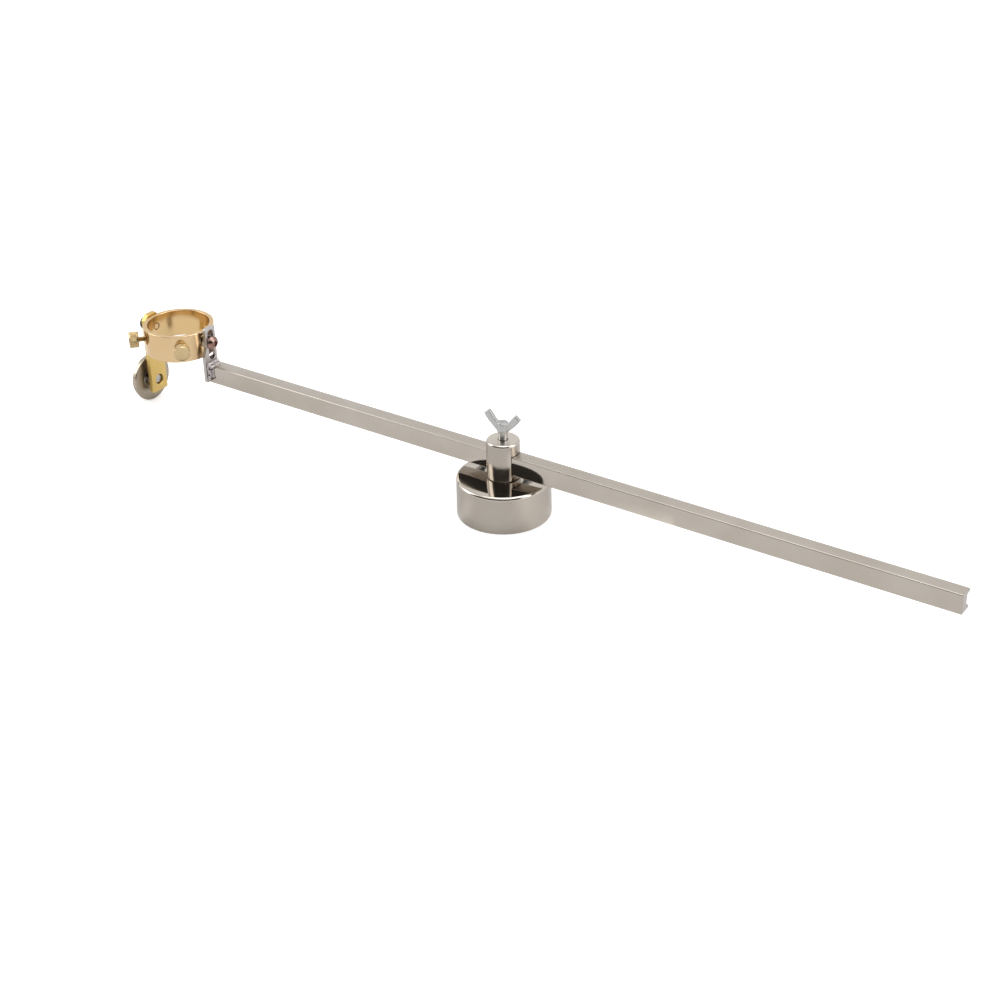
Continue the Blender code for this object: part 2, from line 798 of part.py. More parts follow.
def make_ring_washer(ring_frame):
    """Thick washer that keeps the ring off the riser plate."""
    inner = clamp_screw_radius + seat_gap
    profile = [(inner, ring_washer_thickness), (ring_washer_radius, ring_washer_thickness),
               (ring_washer_radius, 0), (inner, 0)]
    washer = turned("ring_washer", profile, screw_facets, ring_frame,
                    (ring_outer_radius + seat_gap, 0, clamp_z), outward(0))
    own_finish(washer, steel_colour, 0.3)


def make_bracket_screw(ring_frame):
    """Cap screw that holds the wheel bracket to the ring."""
    underside = ring_x - bracket_outer_x + seat_gap
    location = (-underside, 0, clamp_z)
    rotation = outward(math.pi)
    profile = screw_profile(clamp_screw_radius, underside - ring_inner_radius, bracket_head_radius,
                            bracket_head_height, bracket_head_height / 4)
    screw = turned("bracket_screw", profile, screw_facets, ring_frame, location, rotation)
    cut(screw, hex_cutter("hex", hex_socket_radius, hex_socket_depth, bracket_head_height,
                          ring_frame, location, rotation))
    own_finish(screw, dark_steel_colour, 0.3)


def knurled_outline(radius, depth, count):
    """A circle with straight knurling, a crest and a root for each tooth."""
    points = []
    for tooth in range(count):
        for half_step, reach in ((0, radius), (1, radius - depth)):
            angle = math.pi * (2 * tooth + half_step) / count
            points.append((reach * math.cos(angle), reach * math.sin(angle)))
    return points


def make_thumb_screw(name, angle, stand_off, ring_frame):
    """Knurled brass screw that grips the torch."""
    start = ring_outer_radius + stand_off
    screw_axis = axis_empty(name + "_axis", on_ring(angle, start, ring_mid), outward(angle), ring_frame)
    tip_chamfer = thumb_thread_radius / 4
    inside = thumb_head_length / 2
    profile = [
        (0, inside), (thumb_thread_radius, inside), (thumb_thread_radius, tip_chamfer - thumb_thread_length),
        (thumb_thread_radius - tip_chamfer, -thumb_thread_length), (0, -thumb_thread_length),
    ]
    screw = turned(name, profile, screw_facets, screw_axis)
    head = extruded("head", [knurled_outline(thumb_head_radius, knurl_depth, knurl_count)],
                    thumb_head_length, screw_axis, (0, 0, inside))
    join(screw, head)
    own_finish(screw, brass_colour, 0.3)


def make_wheel_bracket(ring_frame):
    """Flat strip that hangs the wheel from the ring's far side."""
    half = bracket_width / 2
    outline = chamfered_outline([
        (-half, bracket_bottom, bracket_bottom_chamfer), (half, bracket_bottom, bracket_bottom_chamfer),
        (half, bracket_top, bracket_top_chamfer), (-half, bracket_top, bracket_top_chamfer),
    ])
    upper = circle_outline((0, clamp_z), clamp_screw_radius + seat_gap, screw_facets)
    lower = circle_outline((0, axle_z), axle_radius + seat_gap, screw_facets)
    middle = ((bracket_face_x + bracket_outer_x) / 2 - ring_x, 0, 0)
    bracket = extruded("wheel_bracket", [outline, upper, lower], bracket_thickness, ring_frame, middle,
                       (math.pi / 2, 0, math.pi / 2))
    own_finish(bracket, yellow_zinc_colour, 0.35)


def make_wheel(axle_frame, wheel_axis, cage_axis):
    """Flanged steel wheel on a ball bearing."""
    lip_start = wheel_hub_end - wheel_lip
    step = wheel_start + wheel_flange
    profile = [
        (wheel_lip_radius, wheel_hub_end), (wheel_hub_radius - wheel_edge, wheel_hub_end),
        (wheel_hub_radius, wheel_hub_end - wheel_edge), (wheel_hub_radius, wheel_rim_end),
        (wheel_drum_radius - wheel_edge, wheel_rim_end), (wheel_drum_radius, wheel_rim_end - wheel_edge),
        (wheel_drum_radius, step), (wheel_radius, step),
        (wheel_radius, wheel_start + wheel_edge), (wheel_radius - wheel_edge, wheel_start),
        (wheel_seat_radius, wheel_start), (wheel_seat_radius, lip_start), (wheel_lip_radius, lip_start),
    ]
    disc = turned("wheel_disc", profile, wheel_facets, wheel_axis)
    own_finish(disc, steel_colour, 0.12)
    middle = (0, 0, wheel_start + wheel_bearing_width / 2)
    outer_race("wheel_outer_race", wheel_bearing_radius, wheel_race_thickness, wheel_bearing_width,
               wheel_pitch_radius, wheel_ball_radius, wheel_axis, middle, race_facets)
    inner_race("wheel_inner_race", wheel_bearing_bore, wheel_race_thickness, wheel_bearing_width,
               wheel_pitch_radius, wheel_ball_radius, axle_frame, middle, race_facets)
    ball_cage("wheel_ball_cage", wheel_pitch_radius, wheel_ball_radius, wheel_ball_count,
              cage_axis, middle, race_facets)


def make_axle(axle_frame):
    """Axle screw through the wheel's bearing, with a round spacer against the bracket."""
    inner = axle_radius + seat_gap
    spacer = turned("wheel_spacer", [(inner, spacer_end), (spacer_radius, spacer_end),
                                     (spacer_radius, seat_gap), (inner, seat_gap)],
                    race_facets, axle_frame)
    own_finish(spacer, steel_colour, 0.2)
    collar_start = wheel_bearing_end + seat_gap
    head_start = wheel_hub_end + seat_gap
    head_top = head_start + axle_head_height
    tip = axle_recess - bracket_thickness
    tip_chamfer = axle_radius / 4
    head_round = axle_head_height / 3
    dome = arc_points((axle_head_radius - head_round, head_top - head_round), head_round,
                      math.pi / 2, 0, round_steps)
    profile = [(0, head_top)] + dome + [
        (axle_head_radius, head_start), (axle_collar_radius, head_start),
        (axle_collar_radius, collar_start), (axle_radius, collar_start),
        (axle_radius, tip + tip_chamfer), (axle_radius - tip_chamfer, tip), (0, tip),
    ]
    screw = turned("wheel_axle", profile, screw_facets, axle_frame)
    cut(screw, hex_cutter("hex", hex_socket_radius, hex_socket_depth, head_top,
                          axle_frame, (0, 0, 0), (0, 0, 0)))
    own_finish(screw, dark_steel_colour, 0.25)


def build():
    """Make every piece under the empty that moves it."""
    root = axis_empty("base_frame", (0, 0, 0))
    post_axis = axis_empty("post_axis", (0, 0, 0), (0, 0, 0), root)
    rail_frame = axis_empty("rail_frame", (0, 0, 0), (0, 0, 0), post_axis)
    ring_frame = axis_empty("ring_frame", (ring_x, 0, 0), (0, 0, 0), rail_frame)
    axle_place = (bracket_outer_x - ring_x, 0, axle_z)
    axle_frame = axis_empty("axle_frame", axle_place, outward(math.pi), ring_frame)
    wheel_axis = axis_empty("wheel_axis", (0, 0, 0), (0, 0, 0), axle_frame)
    wheel_cage_axis = axis_empty("wheel_cage_axis", (0, 0, 0), (0, 0, 0), axle_frame)

    make_base_cup(root)
    make_magnet(root)
    make_pivot_bearing(root, post_axis)
    make_circlip(root)
    make_pivot_screw(post_axis)
    make_post(post_axis)
    make_wing_screw(post_axis)
    make_rail(rail_frame)
    make_riser_plate(rail_frame)
    make_weld_bead(rail_frame)
    make_torch_ring(ring_frame)
    make_ring_screw(ring_frame)
    make_ring_washer(ring_frame)
    make_bracket_screw(ring_frame)
    for name, angle, stand_off in zip(("thumb_screw_right", "thumb_screw_left"),
                                      thumb_angles, thumb_stand_offs):
        make_thumb_screw(name, angle, stand_off, ring_frame)
    make_wheel_bracket(ring_frame)
    make_axle(axle_frame)
    make_wheel(axle_frame, wheel_axis, wheel_cage_axis)


build()
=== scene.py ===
"""Looks of a circle cutting guide for a plasma torch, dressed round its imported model.

Lengths are in metres in the part's own frame: the origin is the centre of the base's underside,
+X runs along the bar to its free end and +Z is up.
"""

import math

import bmesh
import bpy
from mathutils import Matrix, Vector, noise


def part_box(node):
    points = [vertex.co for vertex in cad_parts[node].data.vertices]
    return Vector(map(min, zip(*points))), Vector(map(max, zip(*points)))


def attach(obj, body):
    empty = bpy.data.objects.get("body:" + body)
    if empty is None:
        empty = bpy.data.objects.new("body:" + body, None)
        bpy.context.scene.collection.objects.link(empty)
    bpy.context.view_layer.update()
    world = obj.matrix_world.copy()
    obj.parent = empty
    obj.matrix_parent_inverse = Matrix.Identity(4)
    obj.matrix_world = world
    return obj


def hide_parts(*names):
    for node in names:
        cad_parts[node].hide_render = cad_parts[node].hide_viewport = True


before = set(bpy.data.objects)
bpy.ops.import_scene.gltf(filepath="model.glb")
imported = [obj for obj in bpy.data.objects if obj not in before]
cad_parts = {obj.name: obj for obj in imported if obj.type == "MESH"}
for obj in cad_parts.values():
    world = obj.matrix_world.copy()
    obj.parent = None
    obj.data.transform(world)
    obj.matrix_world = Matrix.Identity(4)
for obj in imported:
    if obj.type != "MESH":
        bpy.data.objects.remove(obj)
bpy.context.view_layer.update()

MM = 0.001

# camera, fitted to the photograph
camera_place = (0.486891, -0.710488, 0.503271)
camera_azimuth = math.radians(34.572)
camera_elevation = math.radians(29.978)
camera_roll = math.radians(-1.291)
camera_lens = 68.017

# colours, linear
nickel = (0.490, 0.445, 0.395)
nickel_shade = (0.440, 0.395, 0.345)
mirror_nickel = (0.560, 0.515, 0.460)
# lighter copy of the nickel for the post's top: painted light on the face turned up
nickel_painted_light = (0.640, 0.595, 0.530)
# darker copy of the nickel for the base's side and the post: painted shade, where they mirror the shaded floor at
# their foot
nickel_painted_shade = (0.420, 0.380, 0.335)
nickel_painted_shade_dark = (0.385, 0.345, 0.300)
# neutral grey of the bar's cut ends, darkened as well as painted shade where the right lamp lights them more
cut_nickel_and_painted_shade = (0.430, 0.425, 0.410)
satin_nickel = (0.500, 0.470, 0.450)
satin_shade = (0.430, 0.395, 0.370)
weld_nickel = (0.640, 0.600, 0.590)
weld_shade = (0.540, 0.500, 0.490)
# dark brown for the weld's pits, also used as painted shade on the riser's slot bottom
pit_and_shade_brown = (0.110, 0.085, 0.070)
zinc = (0.540, 0.540, 0.530)
zinc_shade = (0.450, 0.450, 0.440)
ring_brass = (0.680, 0.490, 0.280)
ring_brass_shade = (0.650, 0.440, 0.215)
# lighter copy of the ring's brass for its bore: painted light inside the ring
brass_painted_light = (0.700, 0.510, 0.275)
brass_painted_light_dark = (0.680, 0.480, 0.235)
# dark brown for the ring's outer face behind the riser's slot: painted shade between ring and plate
ring_painted_shade_brown = (0.090, 0.045, 0.020)
thumb_brass = (0.590, 0.450, 0.250)
thumb_brass_shade = (0.480, 0.360, 0.180)
yellow_zinc = (0.720, 0.530, 0.210)
yellow_zinc_shade = (0.660, 0.460, 0.150)
# steel warmed by a painted reflection of the yellow bracket beside the wheel
wheel_steel_and_painted_reflection = (0.440, 0.390, 0.320)
wheel_steel_and_painted_reflection_dark = (0.370, 0.320, 0.250)
dark_steel = (0.060, 0.050, 0.050)
dark_steel_shade = (0.030, 0.026, 0.024)
pink_screw = (0.420, 0.285, 0.250)
pink_screw_shade = (0.230, 0.135, 0.105)
ferrite = (0.070, 0.068, 0.072)
ferrite_shade = (0.045, 0.044, 0.048)
resin = (0.015, 0.015, 0.017)

# glow on the floor round the base: angles from the camera's own direction, with the light added at each
right_levels = ((10, 0), (20, 0.07), (28, 0.19), (39, 0.42), (51, 0.42), (65, 0.27), (81, 0.14), (95, 0))
left_levels = ((-92, 0), (-84, 0.12), (-75, 0.24), (-66, 0.14), (-54, 0))
flag_height = 1.44
flag_slit = 5 * MM
flag_margin_share = 1.2

# detail that only the looks need
fine_edge = 0.25 * MM
arc_steps = 6
smooth_facets = 128
small_facets = 64
sharp_angle = math.radians(34)

base_rim_round = 1.5 * MM
base_foot_round = 0.5 * MM
base_wall = 3.6 * MM
base_cavity_top = 9.8 * MM
base_seat_radius = 9.8 * MM
base_shoulder = 18.4 * MM
base_opening_radius = 7.0 * MM

post_foot = 21.7 * MM
post_edge = 1.3 * MM
post_boss_radius = 4.6 * MM
post_hole_radius = 2.7 * MM
window_gap = 0.3 * MM

wing_stem_radius = 2.4 * MM
wing_thread_pitch = 0.8 * MM
wing_thread_depth = 0.4 * MM
wing_hub_bottom = 46.5 * MM
wing_hub_top = 52.8 * MM
wing_hub_radius = 3.3 * MM
wing_hub_top_radius = 2.85 * MM
wing_thickness = 2.4 * MM
wing_span = 21.3 * MM
wing_yaw = math.radians(3)
wing_smooth_length = 1.0 * MM

rail_corner = 0.55 * MM
groove_depth = 3.0 * MM
groove_height = 7.1 * MM

riser_foot_front = 6.3 * MM
riser_corner = 0.8 * MM
shoulder_low = 41.0 * MM
shoulder_high = 47.0 * MM
slot_width = 4.6 * MM
slot_bottom = 38.4 * MM
slot_top = 56.3 * MM
slot_ramp = 1.5 * MM
weld_swell_share = 1.38
weld_toe_share = 1.15
weld_toe_run = 1.9 * MM
# x, y, z and radius of each pit in the weld, in mm
weld_pits = ((-197.1, -5.6, 34.6, 0.75), (-195.8, -5.0, 34.8, 0.8), (-198.0, -6.1, 30.8, 0.75),
             (-196.4, -5.4, 28.2, 0.9), (-195.5, -4.9, 28.6, 0.7), (-195.1, -4.7, 31.6, 0.55),
             (-196.9, -3.6, 36.6, 0.5), (-197.0, -1.5, 37.3, 0.45), (-197.1, 0.3, 37.6, 0.45))

ring_wall = 2.4 * MM
ring_edge = 0.35 * MM
clamp_height = 9.4 * MM
clamp_thread_radius = 1.95 * MM
clamp_thread_pitch = 0.7 * MM
clamp_thread_depth = 0.3 * MM
screw_hole_gap = 0.3 * MM

thumb_angles = {"thumb_screw_right": math.radians(-45), "thumb_screw_left": math.radians(-135)}
thumb_stand_offs = {"thumb_screw_right": 0.5 * MM, "thumb_screw_left": 3.3 * MM}
thumb_bodies = {"thumb_screw_right": "thumb_right", "thumb_screw_left": "thumb_left"}
thumb_thread_radius = 1.5 * MM
thumb_thread_length = 6.0 * MM
thumb_thread_pitch = 0.5 * MM
thumb_thread_depth = 0.22 * MM
thumb_head_radius = 4.65 * MM
thumb_head_length = 5.4 * MM
thumb_head_edge = 0.5 * MM
knurl_count = 30
knurl_depth = 0.28 * MM
knurl_rows = 18

bracket_top_chamfer = 3.0 * MM
bracket_edge = 0.3 * MM
bracket_corner = 0.8 * MM

wheel_drum_radius = 12.9 * MM
wheel_hub_radius = 8.6 * MM
wheel_flange = 1.2 * MM
wheel_width = 4.0 * MM
wheel_lip = 1.0 * MM
wheel_lip_radius = 5.3 * MM
wheel_seat_radius = 7.1 * MM
race_thickness = 1.1 * MM
ball_radius = 1.1 * MM
ball_pitch_radius = 4.9 * MM
ball_count = 9
shield_radius = 4.35 * MM
shield_thickness = 0.2 * MM
axle_radius = 2.7 * MM
axle_head_height = 2.5 * MM
axle_collar_radius = 3.5 * MM
axle_collar_length = 1.3 * MM
hex_radius = 1.6 * MM
hex_depth = 1.5 * MM
bracket_head_height = 4.2 * MM
ring_head_height = 3.0 * MM


# ---- shapes

def arc(centre, radius, start, end, steps):
    """Points of an arc."""
    points = []
    for step in range(steps + 1):
        angle = start + (end - start) * step / steps
        points.append((centre[0] + radius * math.cos(angle), centre[1] + radius * math.sin(angle)))
    return points


def softened(corners, closed=True):
    """Round (x, y, radius) corners, each limited by half of its shorter edge."""
    points = []
    count = len(corners)
    for index, (x, y, radius) in enumerate(corners):
        end_point = not closed and index in (0, count - 1)
        if radius <= 0 or end_point:
            points.append((x, y))
            continue
        here = Vector((x, y))
        before = Vector(corners[index - 1][:2]) - here
        after = Vector(corners[(index + 1) % count][:2]) - here
        half_turn = before.angle(after) / 2
        reach = min(radius / math.tan(half_turn), before.length / 2, after.length / 2)
        rounding = reach * math.tan(half_turn)
        start = here + before.normalized() * reach
        finish = here + after.normalized() * reach
        middle = here + (before.normalized() + after.normalized()).normalized() * (rounding / math.sin(half_turn))
        from_angle = math.atan2(start.y - middle.y, start.x - middle.x)
        to_angle = math.atan2(finish.y - middle.y, finish.x - middle.x)
        sweep = (to_angle - from_angle + math.pi) % (2 * math.pi) - math.pi
        points += arc(middle, rounding, from_angle, from_angle + sweep, arc_steps)
    return points


def new_object(name, mesh):
    obj = bpy.data.objects.new(name, mesh)
    bpy.context.scene.collection.objects.link(obj)
    return obj


def finished(mesh):
    """Face a mesh outward and shade it smooth, with its sharp edges kept."""
    work = bmesh.new()
    work.from_mesh(mesh)
    bmesh.ops.remove_doubles(work, verts=work.verts, dist=0.000001)
    bmesh.ops.recalc_face_normals(work, faces=work.faces)
    work.to_mesh(mesh)
    work.free()
    mesh.shade_smooth()
    mesh.set_sharp_from_angle(angle=sharp_angle)
    return mesh


def lathed(name, profile, facets=smooth_facets, closed=False):
    """Turn (radius, height) points about Z. An open profile starts and ends on the axis."""
    mesh = bpy.data.meshes.new(name)
    work = bmesh.new()
    rings = []
    for radius, height in profile:
        if radius < 0.00001 * MM:
            rings.append([work.verts.new((0, 0, height))])
            continue
        ring = []
        for step in range(facets):
            angle = 2 * math.pi * step / facets
            ring.append(work.verts.new((radius * math.cos(angle), radius * math.sin(angle), height)))
        rings.append(ring)
    pairs = list(zip(rings, rings[1:]))
    if closed:
        pairs.append((rings[-1], rings[0]))
    for upper, lower in pairs:
        for step in range(facets):
            after = (step + 1) % facets
            if len(upper) == 1 and len(lower) == 1:
                continue
            if len(upper) == 1:
                work.faces.new((upper[0], lower[step], lower[after]))
            elif len(lower) == 1:
                work.faces.new((upper[after], upper[step], lower[0]))
            else:
                work.faces.new((upper[after], upper[step], lower[step], lower[after]))
    work.to_mesh(mesh)
    work.free()
    return new_object(name, finished(mesh))


def plate(name, outlines, thickness, edge):
    """A flat plate with rounded edges, in the XY plane, centred on its thickness."""
    curve = bpy.data.curves.new(name, "CURVE")
    curve.dimensions = "2D"
    curve.fill_mode = "BOTH"
    curve.extrude = thickness / 2 - edge
    curve.bevel_depth = edge
    curve.bevel_resolution = 3
    curve.offset = -edge
    for outline in outlines:
        spline = curve.splines.new("POLY")
        spline.points.add(len(outline) - 1)
        for knot, (x, y) in zip(spline.points, outline):
            knot.co = (x, y, 0, 1)
        spline.use_cyclic_u = True
    shape = new_object(name, curve)
    bpy.context.view_layer.update()
    mesh = bpy.data.meshes.new_from_object(shape.evaluated_get(bpy.context.evaluated_depsgraph_get()))
    bpy.data.objects.remove(shape)
    return new_object(name, finished(mesh))


def threaded(name, radius, depth, pitch, bottom, top, facets=48):
    """A rod with a helical thread, along Z."""
    per_turn = 8
    rows = max(2, int((top - bottom) / pitch * per_turn))
    mesh = bpy.data.meshes.new(name)
    work = bmesh.new()
    rings = []
    for row in range(rows + 1):
        height = bottom + (top - bottom) * row / rows
        end_fade = min(1, (height - bottom) / pitch, (top - height) / pitch)
        ring = []
        for step in range(facets):
            turn = step / facets
            phase = (height / pitch - turn) % 1
            dip = 1 - abs(2 * phase - 1)
            reach = radius - depth * (dip * end_fade + (1 - end_fade))
            angle = 2 * math.pi * turn
            ring.append(work.verts.new((reach * math.cos(angle), reach * math.sin(angle), height)))
        rings.append(ring)
    for lower, upper in zip(rings, rings[1:]):
        for step in range(facets):
            after = (step + 1) % facets
            work.faces.new((lower[step], lower[after], upper[after], upper[step]))
    work.faces.new(list(reversed(rings[0])))
    work.faces.new(rings[-1])
    work.to_mesh(mesh)
    work.free()
    return new_object(name, finished(mesh))


def box_shape(name, low, high):
    mesh = bpy.data.meshes.new(name)
    work = bmesh.new()
    bmesh.ops.create_cube(work, size=1.0)
    size = Vector(high) - Vector(low)
    middle = (Vector(high) + Vector(low)) / 2
    work.transform(Matrix.Translation(middle) @ Matrix.Diagonal((*size, 1.0)))
    work.to_mesh(mesh)
    work.free()
    return new_object(name, mesh)


def carved(obj, *tools):
    """Cut tools out of an object."""
    for tool in tools:
        change = obj.modifiers.new("cut", "BOOLEAN")
        change.operation = "DIFFERENCE"
        change.solver = "EXACT"
        change.object = tool
        apply_modifiers(obj)
        bpy.data.objects.remove(tool)
    return obj


def apply_modifiers(obj):
    bpy.context.view_layer.update()
    mesh = bpy.data.meshes.new_from_object(obj.evaluated_get(bpy.context.evaluated_depsgraph_get()))
    obj.modifiers.clear()
    obj.data = mesh
    finished(mesh)
    return obj


def edge_rounded(obj, width, segments=2):
    """Round an object's sharp edges."""
    bevel = obj.modifiers.new("edges", "BEVEL")
    bevel.width = width
    bevel.segments = segments
    bevel.limit_method = "ANGLE"
    bevel.angle_limit = math.radians(40)
    bevel.harden_normals = False
    return apply_modifiers(obj)


def moved(obj, matrix):
    """Move an object's mesh, its origin stays."""
    obj.data.transform(matrix)
    return obj


def joined(name, *objects):
    """One object from several."""
    mesh = bpy.data.meshes.new(name)
    work = bmesh.new()
    for obj in objects:
        work.from_mesh(obj.data)
        bpy.data.objects.remove(obj)
    work.to_mesh(mesh)
    work.free()
    mesh.shade_smooth()
    mesh.set_sharp_from_angle(angle=sharp_angle)
    return new_object(name, mesh)


def pointing(direction, place):
    """Matrix that turns +Z to a direction and puts the origin at a place."""
    turn = Vector((0, 0, 1)).rotation_difference(Vector(direction)).to_matrix().to_4x4()
    return Matrix.Translation(place) @ turn


def across(place):
    """Matrix that lays a plate's XY plane into the YZ plane at a place."""
    return Matrix.Translation(place) @ Matrix.Rotation(math.pi / 2, 4, "Z") @ Matrix.Rotation(math.pi / 2, 4, "X")


# ---- materials

def node(tree, kind, **values):
    made = tree.nodes.new(kind)
    for key, value in values.items():
        setattr(made, key, value)
    return made


def noise_on(tree, source, stretch, scale, detail=4.0, roughness=0.55):
    """Noise over a stretched copy of the object's coordinates."""
    mapping = node(tree, "ShaderNodeMapping")
    mapping.inputs["Scale"].default_value = stretch
    tree.links.new(source, mapping.inputs["Vector"])
    texture = node(tree, "ShaderNodeTexNoise")
    texture.inputs["Scale"].default_value = scale
    texture.inputs["Detail"].default_value = detail
    texture.inputs["Roughness"].default_value = roughness
    tree.links.new(mapping.outputs["Vector"], texture.inputs["Vector"])
    return texture.outputs["Fac"]


def spread(tree, value, low, high, start=0.3, end=0.7):
    """Map a noise value from start..end onto low..high."""
    remap = node(tree, "ShaderNodeMapRange")
    remap.inputs["From Min"].default_value = start
    remap.inputs["From Max"].default_value = end
    remap.inputs["To Min"].default_value = low
    remap.inputs["To Max"].default_value = high
    tree.links.new(value, remap.inputs["Value"])
    return remap.outputs["Result"]


def blend_colours(tree, factor, low, high):
    mix = node(tree, "ShaderNodeMix", data_type="RGBA")
    mix.inputs["A"].default_value = (*low, 1)
    mix.inputs["B"].default_value = (*high, 1)
    tree.links.new(factor, mix.inputs["Factor"])
    return mix.outputs["Result"]


def metal(name, colour, shade, smooth, rough, stretch=(1, 1, 1), scale=90, grain=900, bump=0.06,
          metallic=1.0, clouds=28):
    """Metal with cloudy colour, streaked roughness and a fine grain."""
    material = bpy.data.materials.new(name)
    material.use_nodes = True
    tree = material.node_tree
    shader = tree.nodes["Principled BSDF"]
    shader.inputs["Metallic"].default_value = metallic
    source = node(tree, "ShaderNodeTexCoord").outputs["Object"]
    cloud = noise_on(tree, source, (1, 1, 1), clouds)
    factor = spread(tree, cloud, 0, 1, 0.35, 0.65)
    tree.links.new(blend_colours(tree, factor, shade, colour), shader.inputs["Base Color"])
    streak = noise_on(tree, source, stretch, scale, 5)
    tree.links.new(spread(tree, streak, smooth, rough), shader.inputs["Roughness"])
    fine = noise_on(tree, source, stretch, grain, 3)
    relief = node(tree, "ShaderNodeBump")
    relief.inputs["Strength"].default_value = bump
    relief.inputs["Distance"].default_value = 0.05 * MM
    tree.links.new(fine, relief.inputs["Height"])
    tree.links.new(relief.outputs["Normal"], shader.inputs["Normal"])
    return material


along_bar = (0.04, 1, 1)
upright = (1, 1, 0.05)
around = (1, 1, 0.15)

finishes = {
    "bar": metal("bar_finish", nickel, nickel_shade, 0.07, 0.11, along_bar, 500, 2600, 0.02),
    "bar_top": metal("bar_top_finish", nickel, nickel_shade, 0.24, 0.34, along_bar, 500, 2600, 0.08),
    # the bar's ends: their own neutral grey, darkened as painted shade
    "bar_end": metal("bar_end_finish", cut_nickel_and_painted_shade, satin_shade, 0.3, 0.4, (1, 1, 1), 400, 1500, 0.1),
    # painted shade: darker nickel for the base's side
    "base_side": metal("base_side_finish", nickel_painted_shade, nickel_painted_shade_dark, 0.2, 0.28, (1, 1, 3), 120, 900, 0.015),
    "base_rim": metal("base_rim_finish", mirror_nickel, nickel, 0.05, 0.08, (1, 1, 1), 120, 900, 0.01),
    "base_top": metal("base_top_finish", mirror_nickel, nickel, 0.03, 0.06, (1, 1, 1), 120, 900, 0.01),
    # painted shade: darker nickel for the post's side
    "post": metal("post_finish", nickel_painted_shade, nickel_painted_shade_dark, 0.13, 0.2, (1, 1, 4), 400, 1500, 0.03),
    # painted light: lighter nickel for the post's top
    "post_top": metal("post_top_finish", nickel_painted_light, mirror_nickel, 0.26, 0.34, (1, 1, 1), 500, 1500, 0.05),
    "wing": metal("wing_finish", zinc, zinc_shade, 0.18, 0.26, (1, 1, 1), 260, 1400, 0.05),
    "shank": metal("wing_shank_finish", zinc, zinc_shade, 0.26, 0.36, (1, 1, 1), 260, 1400, 0.05),
    "riser": metal("riser_finish", satin_nickel, satin_shade, 0.3, 0.45, (1, 1, 1), 320, 1500, 0.15),
    "weld": metal("weld_finish", weld_nickel, weld_shade, 0.5, 0.65, (1, 1, 1), 500, 1500, 0.2, clouds=420),
    # dark brown of the weld's pits, also painted shade in the riser's slot
    "pit_and_shade": metal("pit_and_slot_shade_finish", pit_and_shade_brown, dark_steel, 0.4, 0.6, (1, 1, 1), 500, 1500, 0.2, clouds=420),
    "ring": metal("ring_finish", ring_brass, ring_brass_shade, 0.1, 0.16, (1, 1, 3), 160, 1600, 0.02),
    # painted light: lighter brass inside the ring
    "bore": metal("bore_finish", brass_painted_light, brass_painted_light_dark, 0.15, 0.2, (1, 1, 3), 160, 1600, 0.01),
    # painted shade: dark brown on the ring behind the slot
    "painted_shade": metal("ring_painted_shade_finish", ring_painted_shade_brown, ring_painted_shade_brown, 0.3, 0.4, (1, 1, 1), 300, 1500, 0.05),
    "thumb": metal("thumb_finish", thumb_brass, thumb_brass_shade, 0.22, 0.38, (1, 1, 1), 400, 1600, 0.1),
    "bracket": metal("bracket_finish", yellow_zinc, yellow_zinc_shade, 0.3, 0.45, upright, 260, 1500, 0.12),
    # wheel and spacer: steel with a painted reflection of the bracket's yellow
    "wheel": metal("wheel_finish", wheel_steel_and_painted_reflection, wheel_steel_and_painted_reflection_dark, 0.14, 0.22, (1, 1, 1), 200, 1500, 0.03),
    "wheel_face": metal("wheel_face_finish", wheel_steel_and_painted_reflection, wheel_steel_and_painted_reflection_dark, 0.36, 0.46, (1, 1, 1), 200, 1500, 0.05),
    "dark": metal("dark_steel_finish", dark_steel, dark_steel_shade, 0.2, 0.35, (1, 1, 1), 300, 1500, 0.1),
    "pink": metal("ring_screw_finish", pink_screw, pink_screw_shade, 0.12, 0.22, (1, 1, 1), 300, 1500, 0.05,
                  clouds=260),
    "race": metal("bearing_finish", satin_nickel, satin_shade, 0.12, 0.2, (1, 1, 1), 300, 1500, 0.02),
    "zinc": metal("zinc_finish", zinc, zinc_shade, 0.25, 0.4, (1, 1, 1), 300, 1500, 0.1),
    "ferrite": metal("ferrite_finish", ferrite, ferrite_shade, 0.55, 0.75, (1, 1, 1), 300, 1200, 0.3,
                     metallic=0.0),
    "resin": metal("resin_finish", resin, resin, 0.25, 0.4, (1, 1, 1), 200, 900, 0.15, metallic=0.0),
}


def dress(obj, body, finish, *nodes):
    """Set a piece's finish, body and the nodes that it stands for."""
    if not obj.data.materials:
        obj.data.materials.append(finishes[finish])
    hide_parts(*nodes)
    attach(obj, body)
    return obj


# ---- pieces

def make_base():
    low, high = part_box("base_cup")
    radius, height = high.x, high.z
    cavity = radius - base_wall
    profile = softened([
        (base_opening_radius, height, fine_edge), (radius, height, base_rim_round),
        (radius, 0, base_foot_round), (cavity, 0, fine_edge), (cavity, base_cavity_top, 0),
        (base_seat_radius, base_cavity_top, 0), (base_seat_radius, base_shoulder, 0),
        (base_opening_radius, base_shoulder, 0),
    ])
    cup = lathed("base_shell", profile, 192, closed=True)
    for finish in ("base_side", "base_rim", "base_top"):
        cup.data.materials.append(finishes[finish])
    for face in cup.data.polygons:
        on_top = face.center.z > height - base_rim_round - fine_edge
        if on_top and face.normal.z > 0.995:
            face.material_index = 2
        elif on_top and face.center.xy.length > radius - 2 * base_rim_round:
            face.material_index = 1
    dress(cup, "base", "base_side", "base_cup")


